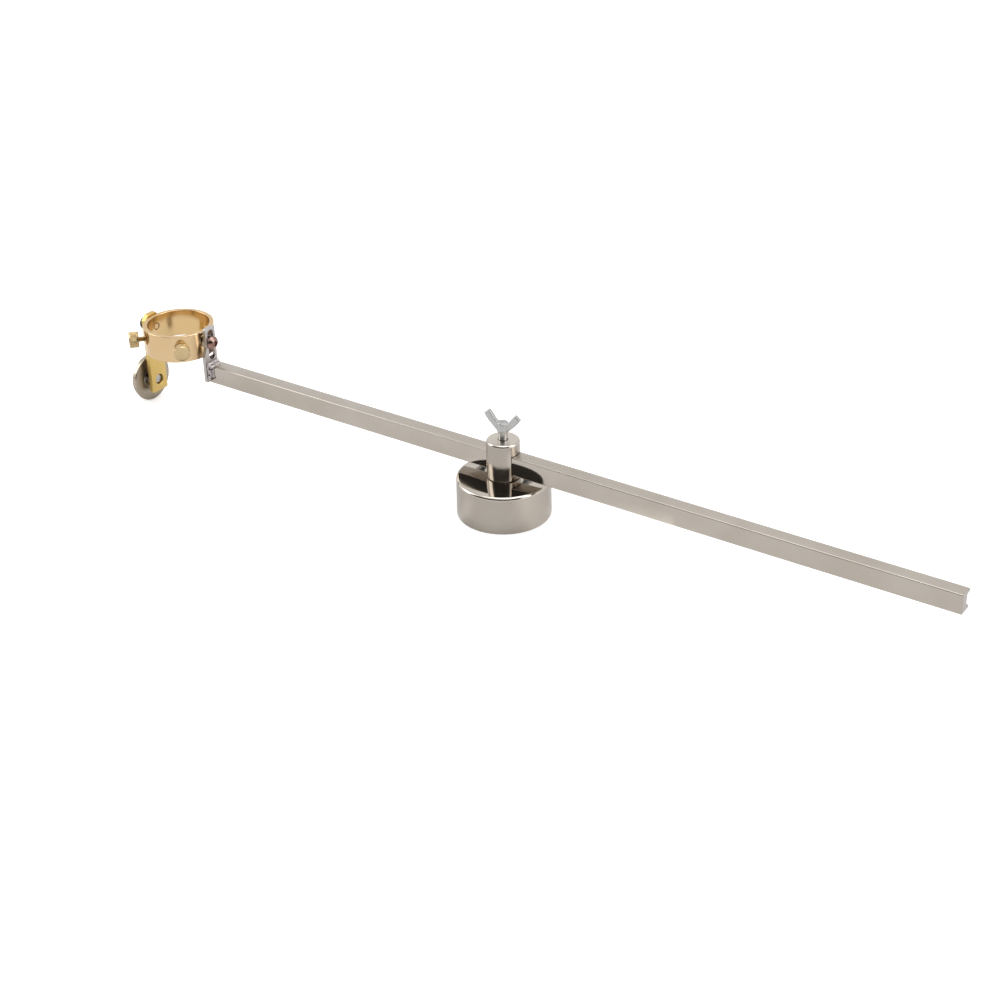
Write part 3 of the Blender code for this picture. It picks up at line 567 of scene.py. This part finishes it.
def make_post():
    low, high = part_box("post")
    rail_low, rail_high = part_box("rail")
    radius = high.x
    body = lathed("post_body", softened([
        (0, high.z, 0), (radius, high.z, post_edge), (radius, post_foot, fine_edge),
        (post_boss_radius, post_foot, 0), (post_boss_radius, low.z, 0), (0, low.z, 0)], closed=False))
    half = rail_high.y + window_gap
    reach = radius * 1.5
    window = box_shape("window", (-reach, -half, rail_low.z - window_gap), (reach, half, rail_high.z + window_gap))
    hole = moved(lathed("hole", [(0, high.z - rail_low.z), (post_hole_radius, high.z - rail_low.z),
                                 (post_hole_radius, 0), (0, 0)], small_facets),
                 Matrix.Translation((0, 0, (rail_low.z + rail_high.z) / 2)))
    carved(body, window, hole)
    body.data.materials.append(finishes["post"])
    body.data.materials.append(finishes["post_top"])
    body.data.materials.append(finishes["base_rim"])
    for face in body.data.polygons:
        if face.center.z > high.z - post_edge and face.center.xy.length > post_hole_radius + fine_edge:
            face.material_index = 1 if face.normal.z > 0.99 else 2
    dress(body, "turning_post", "post", "post")


def ear_outline():
    """Both ears as one outline, in the plane of the span."""
    low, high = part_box("wing_screw")
    height = high.z - wing_hub_bottom
    tip = 0.45 * MM
    bend = 4.0 * MM
    ear_shares = [(0.0, 0.06, 0), (0.28, 0.07, 1), (0.47, 0.25, 1), (0.68, 0.425, 1), (0.864, 0.61, 1),
                  (1.0, 0.795, 0), (0.73, 1.0, 0), (0.515, 0.765, 1), (0.31, 0.49, 1), (0.0, 0.36, 0)]
    half = [(x * wing_span / 2, z * height, bend if soft else tip) for x, z, soft in ear_shares]
    half = half[1:-1]
    return softened(half + [(-x, z, radius) for x, z, radius in reversed(half)])


def make_wing_screw():
    low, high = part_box("wing_screw")
    post_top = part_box("post")[1].z
    hub = lathed("hub", softened([
        (0, wing_hub_top, 0), (wing_hub_top_radius, wing_hub_top, 0.5 * MM),
        (wing_hub_radius, wing_hub_bottom + 2.2 * MM, 1.5 * MM),
        (wing_stem_radius, wing_hub_bottom, 0.4 * MM), (0, wing_hub_bottom, 0)], closed=False), small_facets)
    ears = plate("ears", [ear_outline()], wing_thickness, 0.45 * MM)
    moved(ears, Matrix.Translation((0, 0, wing_hub_bottom)) @ Matrix.Rotation(math.pi / 2, 4, "X"))
    smooth_from = post_top - wing_smooth_length
    stem = threaded("stem", wing_stem_radius, wing_thread_depth, wing_thread_pitch, low.z, smooth_from + fine_edge)
    shank = lathed("shank", softened([
        (0, wing_hub_bottom + fine_edge, 0), (wing_stem_radius, wing_hub_bottom + fine_edge, 0),
        (wing_stem_radius, smooth_from, 0.4 * MM), (0, smooth_from, 0)], closed=False), small_facets)
    screw = joined("wing_clamp", hub, ears, stem, shank)
    moved(screw, Matrix.Rotation(wing_yaw, 4, "Z"))
    screw.data.materials.append(finishes["wing"])
    screw.data.materials.append(finishes["shank"])
    for face in screw.data.polygons:
        if face.center.z < wing_hub_bottom:
            face.material_index = 1
    dress(screw, "clamp_wing", "wing", "wing_screw")


def make_rail():
    low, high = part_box("rail")
    half = (high.y - low.y) / 2
    half_height = (high.z - low.z) / 2
    floor = half - groove_depth
    lip = groove_height / 2
    section = softened([
        (-half, -half_height, rail_corner), (half, -half_height, rail_corner), (half, -lip, rail_corner),
        (floor, -lip, rail_corner), (floor, lip, rail_corner), (half, lip, rail_corner),
        (half, half_height, rail_corner), (-half, half_height, rail_corner)])
    bar = plate("slide_bar", [section], high.x - low.x, fine_edge)
    moved(bar, across(((low.x + high.x) / 2, 0, (low.z + high.z) / 2)))
    bar.data.materials.append(finishes["bar"])
    bar.data.materials.append(finishes["bar_top"])
    bar.data.materials.append(finishes["bar_end"])
    for face in bar.data.polygons:
        if abs(face.normal.z) > 0.2:
            face.material_index = 1
        if abs(face.normal.x) > 0.9:
            face.material_index = 2
    dress(bar, "bar", "bar", "rail")


def make_riser():
    low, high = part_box("riser_plate")
    outline = softened([
        (-riser_foot_front, low.z, riser_corner), (high.y, low.z, riser_corner),
        (high.y, high.z, riser_corner), (-high.y, high.z, riser_corner),
        (-high.y, shoulder_high, riser_corner * 3), (-riser_foot_front, shoulder_low, riser_corner * 3)])
    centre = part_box("torch_ring")[0].y / 2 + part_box("torch_ring")[1].y / 2
    radius = slot_width / 2
    slot = arc((centre, slot_bottom + radius), radius, math.pi, 2 * math.pi, 24)
    slot += arc((centre, slot_top - radius), radius, 0, math.pi, 24)
    riser = plate("slotted_riser", [outline, slot], high.x - low.x, fine_edge)
    moved(riser, across(((low.x + high.x) / 2, 0, 0)))
    # a ramp closes the slot's lower end; it and the slot's bottom are painted dark brown below as painted shade in
    # the slot
    mesh = bpy.data.meshes.new("ramp")
    back, front, foot = low.x + fine_edge, high.x - fine_edge, slot_bottom - slot_ramp
    points = [(x, centre + side * radius, z) for side in (-1, 1)
              for x, z in ((back, foot), (front, foot), (front, slot_bottom), (back, slot_bottom + slot_ramp))]
    mesh.from_pydata(points, [], [(0, 1, 2, 3), (7, 6, 5, 4), (0, 3, 7, 4), (1, 5, 6, 2), (3, 2, 6, 7),
                                  (0, 4, 5, 1)])
    ramp = new_object("ramp", finished(mesh))
    riser = joined("slotted_riser", riser, ramp)
    riser.data.materials.append(finishes["riser"])
    # painted shade for the slot's bottom and ramp
    riser.data.materials.append(finishes["pit_and_shade"])
    for face in riser.data.polygons:
        if abs(face.normal.x) < 0.9 and face.normal.z > 0.5 and face.center.z < slot_bottom + slot_ramp:
            if abs(face.center.y - centre) < radius and face.center.z > slot_bottom - slot_ramp:
                face.material_index = 1
    dress(riser, "bar", "riser", "riser_plate")


def make_weld():
    """Weld built from overlapping drops that sink into plate and bar, remeshed, then roughened and pitted."""
    low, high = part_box("weld_bead")
    radius = (high.x - low.x) / 2
    size = radius * weld_swell_share
    toe = radius * weld_toe_share
    x, front, top = high.x - size, low.y + size, high.z - size
    toe_x, toe_front, toe_top = x + weld_toe_run, front + radius, top - radius
    heights = frange(low.z + size, top, 6)
    widths = frange(front, high.y - size / 2, 5)
    drops = [(x, front, z, size) for z in heights] + [(x, y, top, size) for y in widths]
    drops += [(toe_x, toe_front, z, toe) for z in heights[:-1]] + [(toe_x, y, toe_top, toe) for y in widths]
    mesh = bpy.data.meshes.new("bead")
    work = bmesh.new()
    for index, (*place, reach) in enumerate(drops):
        reach *= 0.97 - 0.09 * (index % 2)
        bmesh.ops.create_icosphere(work, subdivisions=3, radius=reach, matrix=Matrix.Translation(place))
    work.to_mesh(mesh)
    work.free()
    bead = new_object("weld_fillet", mesh)
    remesh = bead.modifiers.new("skin", "REMESH")
    remesh.mode = "VOXEL"
    remesh.voxel_size = 0.12 * MM
    apply_modifiers(bead)
    pits = [(Vector(place) * MM, reach * MM) for *place, reach in weld_pits]
    for vertex in bead.data.vertices:
        wave = noise.noise(vertex.co * 700) + 0.5 * noise.noise(vertex.co * 1800)
        sink = 0.1 * MM + 0.08 * MM * wave
        for centre, size in pits:
            reach = (vertex.co - centre).length / size
            sink += max(0, 1 - reach * reach) * 0.5 * size
        vertex.co -= vertex.normal * sink
    finished(bead.data)
    bead.data.materials.append(finishes["weld"])
    bead.data.materials.append(finishes["pit_and_shade"])
    for face in bead.data.polygons:
        if any((face.center - centre).length < size * 0.8 for centre, size in pits):
            face.material_index = 1
    dress(bead, "bar", "weld", "weld_bead")


def frange(start, end, count):
    return [start + (end - start) * step / (count - 1) for step in range(count)]


def ring_centre():
    low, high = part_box("torch_ring")
    return Vector(((low.x + high.x) / 2, (low.y + high.y) / 2, 0))


def drilled(obj, radius, place, direction, length):
    """Cut a round hole."""
    drill = lathed("drill", [(0, length), (radius, length), (radius, -length), (0, -length)], small_facets)
    return carved(obj, moved(drill, pointing(direction, place)))


def make_ring():
    low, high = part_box("torch_ring")
    outer = (high.x - low.x) / 2
    inner = outer - ring_wall
    centre = ring_centre()
    ring = lathed("torch_collar", softened([
        (inner, high.z, ring_edge), (outer, high.z, ring_edge), (outer, low.z, ring_edge),
        (inner, low.z, ring_edge)]), 160, closed=True)
    moved(ring, Matrix.Translation(centre))
    middle = (low.z + high.z) / 2
    for angle in thumb_angles.values():
        direction = Vector((math.cos(angle), math.sin(angle), 0))
        place = centre + direction * outer + Vector((0, 0, middle))
        drilled(ring, thumb_thread_radius + fine_edge, place, direction, 2 * ring_wall)
    for side in (1, -1):
        place = centre + Vector((side * outer, 0, low.z + clamp_height))
        drilled(ring, clamp_thread_radius + fine_edge, place, (side, 0, 0), 2 * ring_wall)
    for finish in ("ring", "bore", "painted_shade"):
        ring.data.materials.append(finishes[finish])
    # faces turned to the riser behind its slot get the painted shade, dark brown between ring and plate
    for face in ring.data.polygons:
        out = face.center - centre
        if out.xy.length < inner + ring_edge / 2 and abs(face.normal.z) < 0.5:
            face.material_index = 1
        elif face.normal.x > 0.9 and 0 < out.y < 1.8 * slot_width:
            face.material_index = 2
    dress(ring, "torch_holder", "ring", "torch_ring")


def hex_socket(top):
    """Cutter for a hex socket in a head whose top is at a height."""
    socket = lathed("socket", [(0, hex_depth * 2), (hex_radius, hex_depth * 2), (hex_radius, 0), (0, 0)], 6)
    return moved(socket, Matrix.Translation((0, 0, top - hex_depth)))


def bored_ring(name, bore, radius, length, edge):
    """A plain ring from 0 up to its length along Z."""
    return lathed(name, softened([
        (bore, length, fine_edge), (radius, length, edge), (radius, 0, edge), (bore, 0, fine_edge)]),
        small_facets, closed=True)


def make_ring_screw():
    low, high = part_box("ring_screw")
    head = (high.z - low.z) / 2
    head_height = ring_head_height
    shank = high.x - low.x - head_height
    body = lathed("head", softened([
        (0, head_height, 0), (head * 0.5, head_height, 1.2 * MM), (head, head_height * 0.5, 1.6 * MM),
        (head, 0, fine_edge), (0, 0, 0)], closed=False), small_facets)
    carved(body, hex_socket(head_height))
    edge_rounded(body, 0.12 * MM)
    stem = threaded("stem", clamp_thread_radius, clamp_thread_depth, clamp_thread_pitch, -shank, fine_edge)
    screw = joined("ring_clamp_screw", body, stem)
    place = (high.x - head_height, ring_centre().y, (low.z + high.z) / 2)
    moved(screw, pointing((1, 0, 0), place) @ Matrix.Rotation(math.radians(25), 4, "Z"))
    dress(screw, "torch_holder", "pink", "ring_screw")


def make_ring_washer():
    low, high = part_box("ring_washer")
    bore = clamp_thread_radius + screw_hole_gap
    washer = bored_ring("plate_washer", bore, (high.z - low.z) / 2, high.x - low.x, 0.35 * MM)
    moved(washer, pointing((1, 0, 0), (low.x, ring_centre().y, (low.z + high.z) / 2)))
    dress(washer, "torch_holder", "zinc", "ring_washer")


def make_bracket_screw():
    low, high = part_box("bracket_screw")
    head = (high.z - low.z) / 2
    shank = high.x - low.x - bracket_head_height
    body = lathed("head", softened([
        (0, bracket_head_height, 0), (head, bracket_head_height, 0.7 * MM), (head, 0, fine_edge), (0, 0, 0)],
        closed=False), small_facets)
    carved(body, hex_socket(bracket_head_height))
    edge_rounded(body, 0.12 * MM)
    stem = threaded("stem", clamp_thread_radius, clamp_thread_depth, clamp_thread_pitch, -shank, fine_edge)
    screw = joined("strip_screw", body, stem)
    place = (low.x + bracket_head_height, ring_centre().y, (low.z + high.z) / 2)
    moved(screw, pointing((-1, 0, 0), place))
    screw.data.materials.append(finishes["dark"])
    screw.data.materials.append(finishes["ring"])
    for face in screw.data.polygons:
        if face.center.x > place[0]:
            face.material_index = 1
    dress(screw, "torch_holder", "dark", "bracket_screw")


def knurled_head(name):
    """A drum with diamond knurling and plain rounded rims."""
    columns = knurl_count * 6
    mesh = bpy.data.meshes.new(name)
    work = bmesh.new()
    rings = []
    bottom, top = thumb_head_edge, thumb_head_length - thumb_head_edge
    for row in range(knurl_rows * 2 + 1):
        height = bottom + (top - bottom) * row / (knurl_rows * 2)
        share = (height - bottom) / (top - bottom)
        fade = min(1, 6 * share, 6 * (1 - share))
        ring = []
        for column in range(columns):
            turn = column / columns
            first = abs(((turn * knurl_count + share * 4) % 1) * 2 - 1)
            second = abs(((turn * knurl_count - share * 4) % 1) * 2 - 1)
            dip = knurl_depth * fade * (1 - min(first, second))
            reach = thumb_head_radius - dip - (1 - fade) * 0.1 * MM
            angle = 2 * math.pi * turn
            ring.append(work.verts.new((reach * math.cos(angle), reach * math.sin(angle), height)))
        rings.append(ring)

    def cap(radius, height):
        ring = []
        for column in range(columns):
            angle = 2 * math.pi * column / columns
            ring.append(work.verts.new((radius * math.cos(angle), radius * math.sin(angle), height)))
        return ring

    rim = thumb_head_radius - thumb_head_edge
    inside = rim - 0.5 * MM
    rings.insert(0, cap(rim, 0))
    rings.append(cap(rim, thumb_head_length))
    rings.append(cap(inside, thumb_head_length - 0.15 * MM))
    for lower, upper in zip(rings, rings[1:]):
        for step in range(columns):
            after = (step + 1) % columns
            work.faces.new((lower[step], lower[after], upper[after], upper[step]))
    work.faces.new(list(reversed(rings[0])))
    work.faces.new(rings[-1])
    work.to_mesh(mesh)
    work.free()
    mesh = finished(mesh)
    return new_object(name, mesh)


def make_thumb_screw(name):
    ring_low, ring_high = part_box("torch_ring")
    outer = (ring_high.x - ring_low.x) / 2
    angle = thumb_angles[name]
    direction = Vector((math.cos(angle), math.sin(angle), 0))
    place = ring_centre() + direction * (outer + thumb_stand_offs[name])
    place.z = (ring_low.z + ring_high.z) / 2
    head = knurled_head("head")
    stem = threaded("stem", thumb_thread_radius, thumb_thread_depth, thumb_thread_pitch,
                    -thumb_thread_length, fine_edge)
    screw = joined(name + "_knob", head, stem)
    moved(screw, pointing(direction, place))
    dress(screw, thumb_bodies[name], "thumb", name)


def make_bracket():
    low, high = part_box("wheel_bracket")
    centre = ring_centre().y
    half = (high.y - low.y) / 2
    outline = softened([
        (centre - half, low.z, bracket_corner), (centre + half, low.z, bracket_corner),
        (centre + half, high.z - bracket_top_chamfer, bracket_corner),
        (centre + half - bracket_top_chamfer, high.z, bracket_corner),
        (centre - half + bracket_top_chamfer, high.z, bracket_corner),
        (centre - half, high.z - bracket_top_chamfer, bracket_corner)])
    clamp_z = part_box("torch_ring")[0].z + clamp_height
    axle_z = (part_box("wheel_disc")[0].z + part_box("wheel_disc")[1].z) / 2
    holes = [arc((centre, clamp_z), clamp_thread_radius + screw_hole_gap, 0, 2 * math.pi * 31 / 32, 31),
             arc((centre, axle_z), axle_radius + screw_hole_gap, 0, 2 * math.pi * 31 / 32, 31)]
    strip = plate("wheel_strip", [outline] + holes, high.x - low.x, bracket_edge)
    moved(strip, across(((low.x + high.x) / 2, 0, 0)))
    dress(strip, "torch_holder", "bracket", "wheel_bracket")


def outboard(place_x):
    """Matrix that turns +Z to -X, on the wheel's axis."""
    low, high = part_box("wheel_disc")
    return pointing((-1, 0, 0), (place_x, ring_centre().y, (low.z + high.z) / 2))


def make_wheel():
    low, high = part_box("wheel_disc")
    radius = (high.z - low.z) / 2
    length = high.x - low.x
    lip = length - wheel_lip
    disc = lathed("guide_wheel", softened([
        (wheel_lip_radius, length, fine_edge), (wheel_hub_radius, length, 0.5 * MM),
        (wheel_hub_radius, wheel_width, 0.5 * MM), (wheel_drum_radius, wheel_width, 0.5 * MM),
        (wheel_drum_radius, wheel_flange, 0.2 * MM), (radius, wheel_flange, 0.3 * MM),
        (radius, 0, 0.4 * MM), (wheel_seat_radius, 0, fine_edge), (wheel_seat_radius, lip, 0),
        (wheel_lip_radius, lip, 0)]), 160, closed=True)
    moved(disc, outboard(high.x))
    disc.data.materials.append(finishes["wheel"])
    disc.data.materials.append(finishes["wheel_face"])
    for face in disc.data.polygons:
        if face.normal.x > 0.9:
            face.material_index = 1
    dress(disc, "wheel", "wheel", "wheel_disc")


def race(name, node_name, bore_side, body):
    """A bearing race with a ball groove, rounded at its corners, and shields on the outer one."""
    low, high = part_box(node_name)
    half = (high.x - low.x) / 2
    radius = (high.z - low.z) / 2
    land_radius = radius - race_thickness
    seat, land = (radius, land_radius) if bore_side == "in" else (land_radius, radius)
    groove = 0.6 * MM
    corner = 0.3 * MM
    points = [(seat, half, corner), (seat, -half, corner), (land, -half, fine_edge), (land, half, fine_edge)]
    if bore_side == "in":
        points = points[:3] + [(land, -groove, 0), (land + groove / 2, 0, groove), (land, groove, 0)] + points[3:]
    else:
        points = [(land, half, fine_edge), (land, groove, 0), (land - groove / 2, 0, groove),
                  (land, -groove, 0), (land, -half, fine_edge), (seat, -half, corner), (seat, half, corner)]
    shape = lathed(name, softened(points), small_facets, closed=True)
    if bore_side == "in":
        shields = []
        for side in (1, -1):
            shield = bored_ring("shield", shield_radius, land + fine_edge, shield_thickness, 0)
            lift = side * (half - 2 * shield_thickness) - shield_thickness / 2
            shields.append(moved(shield, Matrix.Translation((0, 0, lift))))
        shape = joined(name, shape, *shields)
    moved(shape, outboard((low.x + high.x) / 2))
    dress(shape, body, "race", node_name)


def make_balls():
    """Steel balls in a ring cage."""
    low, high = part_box("wheel_ball_cage")
    pitch = ball_pitch_radius
    mesh = bpy.data.meshes.new("balls")
    work = bmesh.new()
    for index in range(ball_count):
        angle = 2 * math.pi * index / ball_count
        place = Vector((pitch * math.cos(angle), pitch * math.sin(angle), 0))
        bmesh.ops.create_uvsphere(work, u_segments=24, v_segments=16, radius=ball_radius,
                                  matrix=Matrix.Translation(place))
    work.to_mesh(mesh)
    work.free()
    balls = new_object("balls", mesh)
    half_width = 0.35 * MM
    half_height = 0.7 * MM
    ring = bored_ring("ring", pitch - half_width, pitch + half_width, 2 * half_height, 0.1 * MM)
    moved(ring, Matrix.Translation((0, 0, -half_height)))
    cage = joined("wheel_balls", balls, ring)
    moved(cage, outboard((low.x + high.x) / 2))
    dress(cage, "wheel_cage", "race", "wheel_ball_cage")


def make_spacer():
    low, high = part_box("wheel_spacer")
    bore = axle_radius + screw_hole_gap
    spacer = bored_ring("wheel_boss", bore, (high.z - low.z) / 2, high.x - low.x, 0.4 * MM)
    moved(spacer, outboard(high.x))
    dress(spacer, "torch_holder", "wheel", "wheel_spacer")


def make_axle():
    low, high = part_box("wheel_axle")
    total = high.x - low.x
    head = (high.z - low.z) / 2
    neck = total - axle_head_height
    collar_end = neck - axle_collar_length
    profile = softened([
        (0, total, 0), (head, total, 0.8 * MM), (head, neck, fine_edge), (axle_collar_radius, neck, 0),
        (axle_collar_radius, collar_end, fine_edge), (axle_radius, collar_end, 0),
        (axle_radius, 0, 0.7 * MM), (0, 0, 0)], closed=False)
    axle = lathed("axle_pin", profile, small_facets)
    carved(axle, hex_socket(total))
    moved(axle, outboard(high.x))
    dress(axle, "torch_holder", "zinc", "wheel_axle")


def finish_hidden_nodes():
    """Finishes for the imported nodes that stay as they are."""
    kept = {
        "magnet_disc": "ferrite", "potting_ring": "resin", "pivot_outer_race": "race",
        "pivot_inner_race": "race", "pivot_ball_cage": "race", "pivot_retaining_ring": "dark",
        "pivot_washer": "zinc", "pivot_screw": "dark",
    }
    for name, finish in kept.items():
        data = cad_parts[name].data
        data.materials.clear()
        data.materials.append(finishes[finish])


# ---- studio

def aim(obj, place, target):
    obj.location = place
    obj.rotation_euler = (Vector(target) - Vector(place)).to_track_quat("-Z", "Y").to_euler()


def area_lamp(name, place, target, size, watts):
    lamp = bpy.data.lights.new(name, "AREA")
    lamp.shape = "RECTANGLE"
    lamp.size, lamp.size_y = size
    lamp.energy = watts
    obj = bpy.data.objects.new(name, lamp)
    bpy.context.scene.collection.objects.link(obj)
    aim(obj, place, target)
    return obj


def card_material(name, level):
    """A plain card's surface that glows at a level."""
    material = bpy.data.materials.new(name)
    material.use_nodes = True
    shader = material.node_tree.nodes["Principled BSDF"]
    shader.inputs["Base Color"].default_value = (0, 0, 0, 1)
    shader.inputs["Specular IOR Level"].default_value = 0
    shader.inputs["Roughness"].default_value = 1
    shader.inputs["Emission Color"].default_value = (1, 1, 1, 1)
    shader.inputs["Emission Strength"].default_value = level
    return material


def reflection_card(card, level):
    """Make a card that only reflections see."""
    card.data.materials.append(card_material(card.name + "_surface", level))
    card.visible_camera = False
    card.visible_diffuse = False
    card.visible_shadow = False
    card.visible_transmission = False
    return card


def bent_card(name, start, end, distance, bottom, top, level):
    """An upright card bent round the object, between two angles from the camera's own."""
    facing = math.atan2(camera_place[1], camera_place[0])
    steps = 24
    mesh = bpy.data.meshes.new(name)
    work = bmesh.new()
    rows = []
    for step in range(steps + 1):
        angle = facing + math.radians(start + (end - start) * step / steps)
        x, y = distance * math.cos(angle), distance * math.sin(angle)
        rows.append((work.verts.new((x, y, bottom)), work.verts.new((x, y, top))))
    for first, second in zip(rows, rows[1:]):
        work.faces.new((first[0], second[0], second[1], first[1]))
    work.to_mesh(mesh)
    work.free()
    return reflection_card(new_object(name, mesh), level)


def floor_card(name, levels, inner, outer):
    """Part of a flat ring over the floor round the base, which adds light by (angle, level) pairs."""
    facing = math.atan2(camera_place[1], camera_place[0])
    height = 0.1 * MM
    mesh = bpy.data.meshes.new(name)
    points = []
    glows = []
    for angle, level in levels:
        turn = facing + math.radians(angle)
        points += [(radius * math.cos(turn), radius * math.sin(turn), height) for radius in (inner, outer)]
        glows += [level, level]
    faces = [(2 * step, 2 * step + 1, 2 * step + 3, 2 * step + 2) for step in range(len(levels) - 1)]
    mesh.from_pydata(points, [], faces)
    mesh.attributes.new("glow", "FLOAT", "POINT").data.foreach_set("value", glows)
    card = reflection_card(new_object(name, mesh), 0)
    tree = card.data.materials[0].node_tree
    tree.nodes.remove(tree.nodes["Principled BSDF"])
    glow = node(tree, "ShaderNodeEmission")
    tree.links.new(node(tree, "ShaderNodeAttribute", attribute_name="glow").outputs["Fac"], glow.inputs["Strength"])
    both = node(tree, "ShaderNodeAddShader")
    tree.links.new(glow.outputs["Emission"], both.inputs[0])
    tree.links.new(node(tree, "ShaderNodeBsdfTransparent").outputs["BSDF"], both.inputs[1])
    tree.links.new(both.outputs["Shader"], tree.nodes["Material Output"].inputs["Surface"])


def top_flag(name, low, high):
    """Black card where the camera sees a range of the base's top mirror it."""
    base_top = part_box("base_cup")[1].z
    ratio = flag_height / (camera_place[2] - base_top)
    corners = []
    for x, y in ((low[0], low[1]), (high[0], low[1]), (high[0], high[1]), (low[0], high[1])):
        corners.append((x + (x - camera_place[0]) * ratio, y + (y - camera_place[1]) * ratio,
                        base_top + flag_height))
    mesh = bpy.data.meshes.new(name)
    mesh.from_pydata(corners, [], [(0, 1, 2, 3)])
    reflection_card(new_object(name, mesh), 0)


def background_rays(tree):
    """1 for camera, glossy and transmission rays."""
    path = node(tree, "ShaderNodeLightPath")
    first = node(tree, "ShaderNodeMath", operation="MAXIMUM")
    tree.links.new(path.outputs["Is Camera Ray"], first.inputs[0])
    tree.links.new(path.outputs["Is Glossy Ray"], first.inputs[1])
    second = node(tree, "ShaderNodeMath", operation="MAXIMUM")
    tree.links.new(first.outputs[0], second.inputs[0])
    tree.links.new(path.outputs["Is Transmission Ray"], second.inputs[1])
    return second.outputs[0]


def make_world():
    world = bpy.data.worlds.new("studio")
    world.use_nodes = True
    bpy.context.scene.world = world
    tree = world.node_tree
    background = tree.nodes["Background"]
    background.inputs["Color"].default_value = (1, 1, 1, 1)
    strength = spread(tree, background_rays(tree), 0.55, 1.0, 0, 1)
    tree.links.new(strength, background.inputs["Strength"])


def make_floor():
    """White floor that glows as the background does, less so in metal, and still takes the object's shadow."""
    mesh = bpy.data.meshes.new("floor")
    reach = 6.0
    mesh.from_pydata([(-reach, -reach, 0), (reach, -reach, 0), (reach, reach, 0), (-reach, reach, 0)],
                     [], [(0, 1, 2, 3)])
    floor = new_object("floor", mesh)
    floor.location.z = -0.02 * MM
    material = bpy.data.materials.new("floor_white")
    material.use_nodes = True
    tree = material.node_tree
    shader = tree.nodes["Principled BSDF"]
    shader.inputs["Base Color"].default_value = (0.85, 0.85, 0.85, 1)
    shader.inputs["Roughness"].default_value = 1
    shader.inputs["Specular IOR Level"].default_value = 0
    shader.inputs["Emission Color"].default_value = (1, 1, 1, 1)
    glow = node(tree, "ShaderNodeMath", operation="MULTIPLY_ADD")
    path = node(tree, "ShaderNodeLightPath")
    tree.links.new(path.outputs["Is Camera Ray"], glow.inputs[0])
    glow.inputs[1].default_value = 0.4
    tree.links.new(spread(tree, background_rays(tree), 0.0, 0.12, 0, 1), glow.inputs[2])
    tree.links.new(glow.outputs[0], shader.inputs["Emission Strength"])
    mesh.materials.append(material)


def make_camera():
    data = bpy.data.cameras.new("camera")
    data.lens = camera_lens
    data.sensor_width = 36
    data.clip_end = 20
    camera = bpy.data.objects.new("camera", data)
    bpy.context.scene.collection.objects.link(camera)
    forward = Vector((-math.sin(camera_azimuth) * math.cos(camera_elevation),
                      math.cos(camera_azimuth) * math.cos(camera_elevation), -math.sin(camera_elevation)))
    right = Vector((math.cos(camera_azimuth), math.sin(camera_azimuth), 0))
    up = right.cross(forward)
    rolled_right = math.cos(camera_roll) * right + math.sin(camera_roll) * up
    rolled_up = -math.sin(camera_roll) * right + math.cos(camera_roll) * up
    turn = Matrix((rolled_right, rolled_up, -forward)).transposed().to_4x4()
    camera.matrix_world = Matrix.Translation(camera_place) @ turn
    bpy.context.scene.camera = camera


def make_studio():
    make_world()
    make_floor()
    area_lamp("overhead", (0.05, 0.15, 1.2), (0, 0, 0), (1.2, 0.8), 6)
    area_lamp("left", (-1.0, -0.5, 0.7), (-0.05, 0, 0.03), (0.7, 0.9), 4)
    area_lamp("right", (1.1, 0.3, 0.6), (0.05, 0, 0.03), (0.6, 0.9), 3.4)
    base_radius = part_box("base_cup")[1].x
    wide = base_radius * flag_margin_share
    top_flag("flag_behind", (-wide, flag_slit / 2), (wide, wide))
    top_flag("flag_ahead", (-wide, -wide), (wide, -flag_slit / 2))
    bent_card("front_flag", -86, 40, 1.6, 0.02, 1.6, 0.06)
    bent_card("left_panel", -128, -86, 1.6, 0.02, 1.6, 1.6)
    bent_card("right_panel", 40, 90, 1.6, 0.02, 1.6, 1.6)
    floor_card("right_glow", right_levels, base_radius, base_radius + 70 * MM)
    floor_card("left_glow", left_levels, base_radius, base_radius + 35 * MM)


make_camera()
make_base()
make_post()
make_wing_screw()
make_rail()
make_riser()
make_weld()
make_ring()
make_ring_screw()
make_ring_washer()
make_bracket_screw()
for thumb in thumb_angles:
    make_thumb_screw(thumb)
make_bracket()
make_wheel()
race("wheel_race_outer", "wheel_outer_race", "in", "wheel")
race("wheel_race_inner", "wheel_inner_race", "out", "torch_holder")
make_balls()
make_spacer()
make_axle()
finish_hidden_nodes()
make_studio()

view = bpy.context.scene.view_settings
view.view_transform = "Standard"
